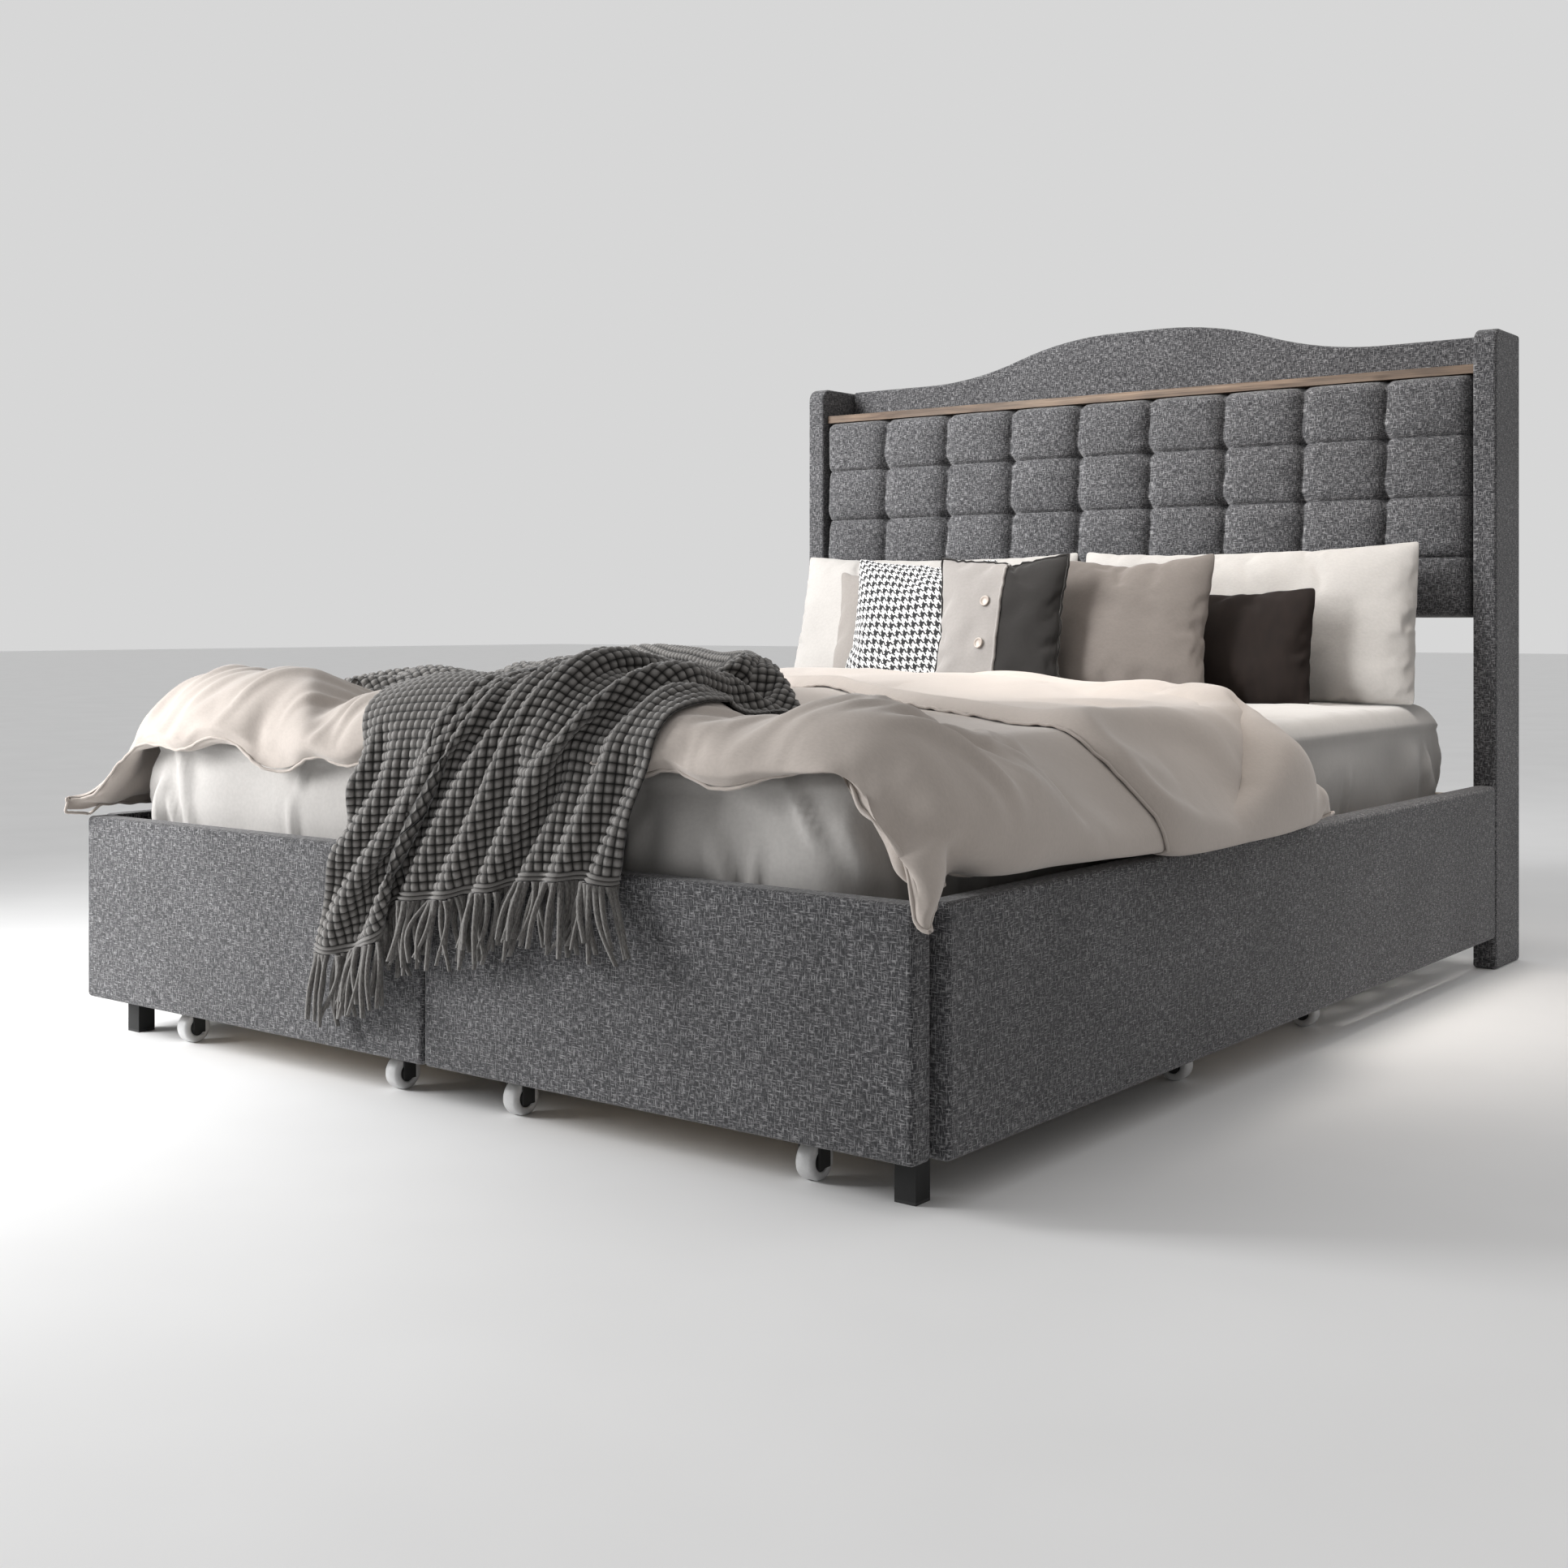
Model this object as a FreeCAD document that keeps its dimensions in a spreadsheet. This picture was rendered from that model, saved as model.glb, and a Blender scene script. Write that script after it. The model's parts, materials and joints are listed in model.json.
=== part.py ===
"""Queen-size upholstered platform bed with a tufted wingback headboard and four drawers on casters.

Units are millimetres.  +Z is up, +X is the right side seen from the foot, +Y points to the
headboard.  The origin is on the floor, under the middle of the whole bed.
"""

import FreeCAD, Part

import math
import os

import Sketcher

# ---------------------------------------------------------------- driving dimensions
# Distances along Y are counted from the front face of the foot drawers, at foot_face_y.

DIMENSIONS = {
    "foot_face_y": -1102.25,
    # upholstered drawer fronts round the base
    "front_half_width": 842.5,
    "front_seam_half": 1.5,
    "front_bottom": 63,
    "front_height": 306,
    "front_thickness": 40,
    "front_edge_radius": 8,
    "side_outer_x": 862.6,
    "side_start": 45,
    "side_length": 2015.5,
    # headboard
    "wing_thickness": 47,
    "wing_front": 2062.5,
    "wing_depth": 154,
    "wing_height": 1290,
    "wing_corner_radius": 30,
    "wing_edge_radius": 7,
    "tuft_half_width": 813,
    "tuft_bottom": 707,
    "tuft_height": 496,
    "tuft_front": 2060,
    "tuft_depth": 50,
    "tuft_columns": 9,
    "tuft_rows": 4,
    "tuft_edge_radius": 12,
    "groove_depth": 12,
    "groove_half_width": 6,
    "backing_depth": 15,
    "shelf_thickness": 18,
    "shelf_front": 2080,
    "back_thickness": 24.5,
    "back_edge_radius": 6,
    "shoulder_height": 585,
    "crown_height": 670,
    "shoulder_x": 582,
    "crown_half_width": 60,
    "stretcher_bottom": 200,
    "stretcher_height": 140,
    "stretcher_depth": 30,
    "stretcher_front": 2150,
    # steel base frame
    "rail_inner_x": 777,
    "rail_width": 31,
    "rail_bottom": 222,
    "rail_height": 40,
    "rail_wall": 2,
    "rail_start": 57,
    "rail_end": 2060,
    "head_rail_front": 2020,
    "beam_half_width": 20,
    "leg_size": 31,
    "glide_height": 4,
    "center_leg_first": 720,
    "center_leg_second": 1420,
    "slat_count": 13,
    "slat_width": 60,
    "slat_thickness": 18,
    "slat_first": 110,
    "slat_pitch": 155.8,
    "slat_half_length": 803,
    "strap_x": 400,
    "strap_width": 40,
    "strap_thickness": 1.5,
    "gusset_length": 60,
    "gusset_depth": 40,
    "gusset_thickness": 3,
    "bracket_start": 1980,
    "bracket_length": 160,
    "bracket_height": 28,
    "bolt_head_radius": 7,
    "bolt_head_height": 5,
    # drawer boxes
    "drawer_depth": 620,
    "foot_drawer_x": 385,
    "foot_drawer_half": 310,
    "side_drawer_y": 1074.5,
    "side_drawer_half": 290,
    "box_underside": 66,
    "wall_height": 147,
    "board_thickness": 12,
    "bottom_thickness": 9,
    # casters
    "wheel_radius": 25,
    "wheel_width": 26,
    "wheel_round": 4,
    "axle_radius": 4,
    "bore_radius": 4.05,
    "wheel_gap": 1,
    "fork_thickness": 3,
    "fork_half_depth": 11,
    "fork_below_axle": 8,
    "plate_half_length": 30,
    "plate_half_width": 22,
    "plate_thickness": 3,
    "foot_caster_front": 33,
    "foot_caster_spread": 260,
    "side_caster_front": 55,
    "side_caster_spread": 246.5,
    "caster_rear": 565,
    # bedding
    "mattress_half_width": 762,
    "mattress_start": 44,
    "mattress_length": 2032,
    "mattress_bottom": 280.5,
    "mattress_height": 254,
    "mattress_round": 35,
    "duvet_half_width": 838,
    "duvet_start": 18,
    "duvet_end": 1560,
    "duvet_hem": 378,
    "duvet_foot_hem": 470,
    "duvet_top": 648,
    "duvet_lining_gap": 3,
    "duvet_round": 12,
    "throw_left_x": -760,
    "throw_right_x": 400,
    "throw_end": 1100,
    "throw_thickness": 12,
    "throw_hem": 375,
    "drop_gap": 2,
    "drop_thickness": 10,
    "drop_top": 368,
    "drop_left_start": -232,
    "drop_left_width": 190,
    "drop_left_bottom": 118,
    "drop_right_start": 11,
    "drop_right_width": 375,
    "drop_right_bottom": 275,
    "pillow_lean": 12,
    "pillow_edge_share": 0.42,
}

# name: left x, right x, foot-side y at the base, thickness, height
PILLOWS = {
    "pillow_white_left": (-800, -35, 1855, 125, 360),
    "pillow_white_right": (-28, 745, 1855, 125, 360),
    "pillow_beige": (-620, -240, 1770, 80, 310),
    "pillow_brown": (120, 577, 1770, 80, 260),
    "pillow_houndstooth": (-508, -130, 1685, 80, 335),
    "pillow_taupe": (-20, 391, 1685, 80, 335),
    "pillow_button": (-222, 104, 1600, 80, 335),
}

NODES_DIR = "parts"
FOOT = "Dims.foot_face_y + "
UPRIGHT = FreeCAD.Rotation()
Z_TO_X = FreeCAD.Rotation(FreeCAD.Vector(0, 1, 0), 90)

doc = FreeCAD.newDocument("platform_bed")
sheet = doc.addObject("Spreadsheet::Sheet", "Dims")
nodes = []


def fill_sheet():
    for row, (alias, value) in enumerate(DIMENSIONS.items(), start=1):
        sheet.set(f"A{row}", alias)
        sheet.set(f"B{row}", str(value))
        sheet.setAlias(f"B{row}", alias)
    doc.recompute()


def dim(alias):
    return float(sheet.get(alias))


def dim_of(expression):
    """Present value of an expression of the sheet's cells."""
    return float(sheet.evalExpression(expression.replace("Dims.", "")))


# ---------------------------------------------------------------- placing and building helpers


class Place:
    """A local frame on the floor: its origin as two expressions, turned about Z by quarter turns."""

    def __init__(self, x="0", y="0", quarter_turns=0):
        self.x = x
        self.y = y
        self.quarter_turns = quarter_turns
        self.rotation = FreeCAD.Rotation(FreeCAD.Vector(0, 0, 1), 90 * quarter_turns)

    def world(self, x, y):
        if self.quarter_turns == 1:
            return f"{self.x} - ({y})", f"{self.y} + ({x})"
        if self.quarter_turns == -1:
            return f"{self.x} + ({y})", f"{self.y} - ({x})"
        return f"{self.x} + ({x})", f"{self.y} + ({y})"


BED = Place()


def put(thing, at, place=BED, own_rotation=UPRIGHT):
    """Turn an object with its frame and bind its position to the sheet."""
    thing.Placement = FreeCAD.Placement(FreeCAD.Vector(), place.rotation.multiply(own_rotation))
    x, y = place.world(at[0], at[1])
    thing.setExpression("Placement.Base.x", x)
    thing.setExpression("Placement.Base.y", y)
    thing.setExpression("Placement.Base.z", at[2])


def node(thing, label):
    thing.Label = label
    nodes.append(thing)
    return thing


def block(name, size, at, place=BED):
    box = doc.addObject("Part::Box", name)
    for side, expression in zip(("Length", "Width", "Height"), size):
        box.setExpression(side, expression)
    put(box, at, place)
    return box


def rod(name, radius, length, at, place=BED, rotation=UPRIGHT):
    cylinder = doc.addObject("Part::Cylinder", name)
    cylinder.setExpression("Radius", radius)
    cylinder.setExpression("Height", length)
    put(cylinder, at, place, rotation)
    return cylinder


def group(name, members):
    compound = doc.addObject("Part::Compound", name)
    compound.Links = members
    return compound


def cut(name, base, tool):
    result = doc.addObject("Part::Cut", name)
    result.Base = base
    result.Tool = tool
    return result


def fuse(name, members):
    result = doc.addObject("Part::MultiFuse", name)
    result.Shapes = members
    return result


def origin_feature(body, role):
    """One of the body's own origin planes or axes, such as XY_Plane or X_Axis."""
    return next(f for f in body.Origin.OriginFeatures if f.Role == role)


def new_sketch(body, name, role="XY_Plane"):
    sketch = body.newObject("Sketcher::SketchObject", name)
    sketch.AttachmentSupport = [(origin_feature(body, role), "")]
    sketch.MapMode = "FlatFace"
    return sketch


def add_polygon(sketch, points):
    """Closed outline of straight lines through the points; returns the lines' numbers."""
    first = sketch.GeometryCount
    for start, end in zip(points, points[1:] + points[:1]):
        sketch.addGeometry(Part.LineSegment(FreeCAD.Vector(*start, 0), FreeCAD.Vector(*end, 0)))
    for i in range(len(points)):
        following = first + (i + 1) % len(points)
        sketch.addConstraint(Sketcher.Constraint("Coincident", first + i, 2, following, 1))
    return [first + i for i in range(len(points))]


def bind(sketch, kind, arguments, value, name, expression):
    number = sketch.addConstraint(Sketcher.Constraint(kind, *arguments, value))
    sketch.renameConstraint(number, name)
    sketch.setExpression(f"Constraints.{name}", expression)


def rectangle(sketch, width, height, start_value):
    """Rectangle with one corner on the sketch's origin and its two sides bound to expressions."""
    w, d = start_value
    lines = add_polygon(sketch, [(0, 0), (w, 0), (w, d), (0, d)])
    for line, kind in zip(lines, ("Horizontal", "Vertical", "Horizontal", "Vertical")):
        sketch.addConstraint(Sketcher.Constraint(kind, line))
    sketch.addConstraint(Sketcher.Constraint("Coincident", lines[0], 1, -1, 1))
    bind(sketch, "DistanceX", (lines[0], 1, lines[0], 2), w, "width", width)
    bind(sketch, "DistanceY", (lines[1], 1, lines[1], 2), d, "depth", height)


def pad(body, sketch, length):
    feature = body.newObject("PartDesign::Pad", f"{body.Name}_pad")
    feature.Profile = sketch
    feature.setExpression("Length", length)
    sketch.Visibility = False
    doc.recompute()
    return feature


def round_all(body, base, radius):
    feature = body.newObject("PartDesign::Fillet", f"{body.Name}_round")
    feature.Base = (base, [""])
    feature.UseAllEdges = True
    feature.setExpression("Radius", radius)
    doc.recompute()
    body.Tip = feature
    return feature


def padded_block(name, size, at, radius, start_value, place=BED, rotation=UPRIGHT):
    """A block with every edge rounded, as an upholstered board or a stuffed pad has."""
    body = doc.addObject("PartDesign::Body", name)
    sketch = new_sketch(body, f"{name}_sketch")
    rectangle(sketch, size[0], size[1], start_value)
    round_all(body, pad(body, sketch, size[2]), radius)
    put(body, at, place, rotation)
    return body


def tube(name, size, at, wall, along):
    """Rectangular steel tube, open at its two ends along axis 0 (X), 1 (Y) or 2 (Z)."""
    outer = block(f"{name}_outer", size, at)
    bore_size = [s if axis == along else f"{s} - 2 * {wall}" for axis, s in enumerate(size)]
    bore_at = [p if axis == along else f"{p} + {wall}" for axis, p in enumerate(at)]
    return cut(name, outer, block(f"{name}_bore", bore_size, bore_at))


# ---------------------------------------------------------------- drawer fronts


def make_fronts():
    size = ("Dims.front_half_width - Dims.front_seam_half", "Dims.front_thickness",
            "Dims.front_height")
    start = (dim("front_half_width"), dim("front_thickness"))
    for side, x in (("left", "-Dims.front_half_width"), ("right", "Dims.front_seam_half")):
        name = f"foot_{side}_drawer_front"
        at = (x, "Dims.foot_face_y", "Dims.front_bottom")
        node(padded_block(name, size, at, "Dims.front_edge_radius", start), name)

    size = ("Dims.front_thickness", "Dims.side_length", "Dims.front_height")
    start = (dim("front_thickness"), dim("side_length"))
    sides = (("left", "-Dims.side_outer_x"), ("right", "Dims.side_outer_x - Dims.front_thickness"))
    for side, x in sides:
        name = f"side_{side}_drawer_front"
        at = (x, FOOT + "Dims.side_start", "Dims.front_bottom")
        node(padded_block(name, size, at, "Dims.front_edge_radius", start), name)


# ---------------------------------------------------------------- headboard


def make_wing(name, x):
    """Upright side cheek: its top foot-side corner is a large round, its edges small ones."""
    body = doc.addObject("PartDesign::Body", name)
    sketch = new_sketch(body, f"{name}_sketch", "YZ_Plane")
    depth, height, radius = dim("wing_depth"), dim("wing_height"), dim("wing_corner_radius")
    corner = FreeCAD.Vector(radius, height - radius, 0)
    points = [(0, height - radius), (0, 0), (depth, 0), (depth, height), (radius, height)]
    for start, end in zip(points, points[1:]):
        sketch.addGeometry(Part.LineSegment(FreeCAD.Vector(*start, 0), FreeCAD.Vector(*end, 0)))
    circle = Part.Circle(corner, FreeCAD.Vector(0, 0, 1), radius)
    sketch.addGeometry(Part.ArcOfCircle(circle, math.pi / 2, math.pi))
    front, bottom, back, top, arc = range(5)
    for a, b in ((front, bottom), (bottom, back), (back, top)):
        sketch.addConstraint(Sketcher.Constraint("Coincident", a, 2, b, 1))
    sketch.addConstraint(Sketcher.Constraint("Tangent", top, 2, arc, 1))
    sketch.addConstraint(Sketcher.Constraint("Tangent", arc, 2, front, 1))
    for line, kind in ((front, "Vertical"), (bottom, "Horizontal"), (back, "Vertical"),
                       (top, "Horizontal")):
        sketch.addConstraint(Sketcher.Constraint(kind, line))
    sketch.addConstraint(Sketcher.Constraint("Coincident", front, 2, -1, 1))
    bind(sketch, "DistanceX", (bottom, 1, bottom, 2), depth, "depth", "Dims.wing_depth")
    bind(sketch, "DistanceY", (back, 1, back, 2), height, "height", "Dims.wing_height")
    bind(sketch, "Radius", (arc,), radius, "corner", "Dims.wing_corner_radius")
    round_all(body, pad(body, sketch, "Dims.wing_thickness"), "Dims.wing_edge_radius")
    put(body, (x, FOOT + "Dims.wing_front", "0"))
    node(body, name)


def groove(body, name, role, centre, depth, direction, count, reach):
    """V groove in the tufted face, cut once and then repeated along the face.

    The groove's two lips lie on the face.  Its sketch counts along the face first on a plan
    (XY_Plane) and last on a side view (YZ_Plane); centre, depth and reach are expressions.
    """
    along, inward = ("DistanceX", "DistanceY") if role == "XY_Plane" else ("DistanceY", "DistanceX")
    middle, half, deep = dim_of(centre), dim("groove_half_width"), dim_of(depth)
    profile = [(middle - half, 0), (middle, deep), (middle + half, 0)]
    if role != "XY_Plane":
        profile = [(y, x) for x, y in profile]
    sketch = new_sketch(body, name, role)
    first_lip, valley, last_lip = add_polygon(sketch, profile)
    bind(sketch, along, (-1, 1, first_lip, 1), middle - half, "first_lip",
         f"{centre} - Dims.groove_half_width")
    bind(sketch, along, (-1, 1, valley, 1), middle, "valley", centre)
    bind(sketch, along, (-1, 1, last_lip, 1), middle + half, "last_lip",
         f"{centre} + Dims.groove_half_width")
    bind(sketch, inward, (-1, 1, valley, 1), deep, "deep", depth)
    face_axis = -1 if role == "XY_Plane" else -2
    for lip in (first_lip, last_lip):
        sketch.addConstraint(Sketcher.Constraint("PointOnObject", lip, 1, face_axis))
    doc.recompute()
    solid_before = body.Tip.Shape.Volume
    pocket = body.newObject("PartDesign::Pocket", f"{name}_cut")
    pocket.Profile = sketch
    pocket.Type = "ThroughAll"
    pocket.Midplane = True
    doc.recompute()
    if pocket.Shape.Volume >= solid_before:
        raise RuntimeError(f"{name} cuts nothing")
    pattern = body.newObject("PartDesign::LinearPattern", f"{name}_row")
    pattern.Originals = [pocket]
    pattern.Direction = (direction, [""])
    pattern.setExpression("Occurrences", count)
    pattern.setExpression("Length", reach)
    body.Tip = pattern
    doc.recompute()


def make_tufted_panel():
    """Padded board with vertical and horizontal sewn channels, 9 by 4 cushions."""
    name = "headboard_tufted_panel"
    body = doc.addObject("PartDesign::Body", name)
    sketch = new_sketch(body, f"{name}_sketch")
    start = (2 * dim("tuft_half_width"), dim("tuft_depth"))
    rectangle(sketch, "2 * Dims.tuft_half_width", "Dims.tuft_depth", start)
    round_all(body, pad(body, sketch, "Dims.tuft_height"), "Dims.tuft_edge_radius")
    groove(body, "column_groove", "XY_Plane", "2 * Dims.tuft_half_width / Dims.tuft_columns",
           "Dims.groove_depth", origin_feature(body, "X_Axis"), "Dims.tuft_columns - 1",
           "2 * Dims.tuft_half_width * (Dims.tuft_columns - 2) / Dims.tuft_columns")
    groove(body, "row_groove", "YZ_Plane", "Dims.tuft_height / Dims.tuft_rows",
           "Dims.groove_depth / 2", origin_feature(body, "Z_Axis"), "Dims.tuft_rows - 1",
           "Dims.tuft_height * (Dims.tuft_rows - 2) / Dims.tuft_rows")
    put(body, ("-Dims.tuft_half_width", FOOT + "Dims.tuft_front", "Dims.tuft_bottom"))
    node(body, name)


def make_back_panel():
    """Camelback board: flat shoulders that rise in two equal, tangent arcs to a crown."""
    name = "headboard_back_panel"
    body = doc.addObject("PartDesign::Body", name)
    sketch = new_sketch(body, f"{name}_sketch", "XZ_Plane")
    half, shoulder_x = dim("tuft_half_width"), dim("shoulder_x")
    shoulder, crown = dim("shoulder_height"), dim("crown_height")
    crown_x = dim("crown_half_width")
    run, rise = (shoulder_x - crown_x) / 2, (crown - shoulder) / 2
    radius = (run ** 2 + rise ** 2) / (2 * rise)
    sweep = math.asin(run / radius)

    corners = [(0, crown), (0, 0), (half, 0), (half, shoulder), (shoulder_x, shoulder)]
    for start, end in zip(corners, corners[1:]):
        sketch.addGeometry(Part.LineSegment(FreeCAD.Vector(*start, 0), FreeCAD.Vector(*end, 0)))
    up = FreeCAD.Vector(0, 0, 1)
    hollow = Part.Circle(FreeCAD.Vector(shoulder_x, shoulder + radius, 0), up, radius)
    down = 1.5 * math.pi
    sketch.addGeometry(Part.ArcOfCircle(hollow, down - sweep, down))
    swell = Part.Circle(FreeCAD.Vector(crown_x, crown - radius, 0), up, radius)
    sketch.addGeometry(Part.ArcOfCircle(swell, math.pi / 2 - sweep, math.pi / 2))
    sketch.addGeometry(Part.LineSegment(FreeCAD.Vector(crown_x, crown, 0),
                                        FreeCAD.Vector(0, crown, 0)))
    centre, bottom, edge, ledge, low_arc, high_arc, top = range(7)
    for a, b in ((centre, bottom), (bottom, edge), (edge, ledge), (top, centre)):
        sketch.addConstraint(Sketcher.Constraint("Coincident", a, 2, b, 1))
    sketch.addConstraint(Sketcher.Constraint("Tangent", ledge, 2, low_arc, 2))
    sketch.addConstraint(Sketcher.Constraint("Tangent", low_arc, 1, high_arc, 1))
    sketch.addConstraint(Sketcher.Constraint("Tangent", high_arc, 2, top, 1))
    sketch.addConstraint(Sketcher.Constraint("Equal", low_arc, high_arc))
    for line, kind in ((centre, "Vertical"), (bottom, "Horizontal"), (edge, "Vertical"),
                       (ledge, "Horizontal"), (top, "Horizontal")):
        sketch.addConstraint(Sketcher.Constraint(kind, line))
    sketch.addConstraint(Sketcher.Constraint("Coincident", centre, 2, -1, 1))
    bind(sketch, "DistanceX", (bottom, 1, bottom, 2), half, "half", "Dims.tuft_half_width")
    bind(sketch, "DistanceY", (edge, 1, edge, 2), shoulder, "shoulder", "Dims.shoulder_height")
    bind(sketch, "DistanceX", (-1, 1, ledge, 2), shoulder_x, "ledge", "Dims.shoulder_x")
    bind(sketch, "DistanceX", (-1, 1, top, 1), crown_x, "crown", "Dims.crown_half_width")
    bind(sketch, "DistanceY", (-1, 1, top, 1), crown, "height", "Dims.crown_height")
    half_board = pad(body, sketch, "Dims.back_thickness")

    mirrored = body.newObject("PartDesign::Mirrored", f"{name}_both_halves")
    mirrored.Originals = [half_board]
    mirrored.MirrorPlane = (origin_feature(body, "YZ_Plane"), [""])
    mirrored.Refine = True
    body.Tip = mirrored
    doc.recompute()
    round_all(body, mirrored, "Dims.back_edge_radius")
    # The sketch plane's normal is -Y, so the board's rear face lies at the body's own origin.
    put(body, ("0", FOOT + "Dims.wing_front + Dims.wing_depth", "Dims.tuft_bottom"))
    node(body, name)


def make_headboard():
    make_wing("headboard_wing_left", "-Dims.side_outer_x")
    make_wing("headboard_wing_right", "Dims.side_outer_x - Dims.wing_thickness")
    make_tufted_panel()
    make_back_panel()
    width = "2 * Dims.tuft_half_width"
    left = "-Dims.tuft_half_width"
    backing_front = "Dims.tuft_front + Dims.tuft_depth"
    hollow_front = f"{backing_front} + Dims.backing_depth"
    back_front = "Dims.wing_front + Dims.wing_depth - Dims.back_thickness"
    boards = {
        "headboard_backing_board": (
            (width, "Dims.backing_depth", "Dims.tuft_height"),
            (left, FOOT + backing_front, "Dims.tuft_bottom")),
        "headboard_bottom_board": (
            (width, f"{back_front} - ({hollow_front})", "Dims.backing_depth"),
            (left, FOOT + hollow_front, "Dims.tuft_bottom")),
        "headboard_shelf": (
            (width, f"{back_front} - Dims.shelf_front", "Dims.shelf_thickness"),
            (left, FOOT + "Dims.shelf_front", "Dims.tuft_bottom + Dims.tuft_height")),
        "headboard_lower_stretcher": (
            ("2 * (Dims.side_outer_x - Dims.wing_thickness)", "Dims.stretcher_depth",
             "Dims.stretcher_height"),
            ("-(Dims.side_outer_x - Dims.wing_thickness)", FOOT + "Dims.stretcher_front",
             "Dims.stretcher_bottom")),
    }
    for name, (size, at) in boards.items():
        node(block(name, size, at), name)


# ---------------------------------------------------------------- steel frame, legs and slats


def make_rails():
    rail_z = "Dims.rail_bottom"
    length = "Dims.rail_end - Dims.rail_start"
    outer_x = "(Dims.rail_inner_x + Dims.rail_width)"
    for side, x in (("left", f"-{outer_x}"), ("right", "Dims.rail_inner_x")):
        name = f"side_rail_{side}"
        size = ("Dims.rail_width", length, "Dims.rail_height")
        rail = tube(name, size, (x, FOOT + "Dims.rail_start", rail_z), "Dims.rail_wall", 1)
        node(rail, name)
    cross = ("2 * Dims.rail_inner_x", "Dims.rail_width", "Dims.rail_height")
    for name, y in (("foot_cross_rail", "Dims.rail_start"),
                    ("head_cross_rail", "Dims.head_rail_front")):
        rail = tube(name, cross, ("-Dims.rail_inner_x", FOOT + y, rail_z), "Dims.rail_wall", 0)
        node(rail, name)
    beam_start = "Dims.rail_start + Dims.rail_width"
    size = ("2 * Dims.beam_half_width", f"Dims.head_rail_front - ({beam_start})",
            "Dims.rail_height")
    beam = tube("center_beam", size, ("-Dims.beam_half_width", FOOT + beam_start, rail_z),
                "Dims.rail_wall", 1)
    node(beam, "center_beam")


def make_legs():
    """Square steel legs on plastic glides: one at each foot corner and two under the beam."""
    leg = ("Dims.leg_size", "Dims.leg_size", "Dims.rail_bottom - Dims.glide_height")
    glide = ("Dims.leg_size", "Dims.leg_size", "Dims.glide_height")
    corner_y = FOOT + "Dims.rail_start"
    corners = {"front_leg_left": "-(Dims.rail_inner_x + Dims.leg_size)",
               "front_leg_right": "Dims.rail_inner_x"}
    glides = []
    for name, x in corners.items():
        node(block(name, leg, (x, corner_y, "Dims.glide_height")), name)
        glides.append(block(f"{name}_glide", glide, (x, corner_y, "0")))
    posts = []
    for alias in ("center_leg_first", "center_leg_second"):
        at = ("-Dims.leg_size / 2", FOOT + f"Dims.{alias}")
        posts.append(block(f"{alias}_post", leg, (*at, "Dims.glide_height")))
        glides.append(block(f"{alias}_glide", glide, (*at, "0")))
    node(group("center_legs", posts), "center_legs")
    node(group("leg_glides", glides), "leg_glides")


def make_slats():
    size = ("2 * Dims.slat_half_length", "Dims.slat_width", "Dims.slat_thickness")
    top_of_rail = "Dims.rail_bottom + Dims.rail_height"
    slats = []
    for i in range(int(dim("slat_count"))):
        y = FOOT + f"Dims.slat_first + {i} * Dims.slat_pitch"
        slats.append(block(f"slat_{i + 1}", size, ("-Dims.slat_half_length", y, top_of_rail)))
    node(group("slats", slats), "slats")
    strap = ("Dims.strap_width", "(Dims.slat_count - 1) * Dims.slat_pitch",
             "Dims.strap_thickness")
    straps = []
    for side, x in (("left", "-Dims.strap_x - Dims.strap_width"), ("right", "Dims.strap_x")):
        at = (x, FOOT + "Dims.slat_first", f"{top_of_rail} - Dims.strap_thickness")
        straps.append(block(f"strap_{side}", strap, at))
    node(group("slat_straps", straps), "slat_straps")


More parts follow.
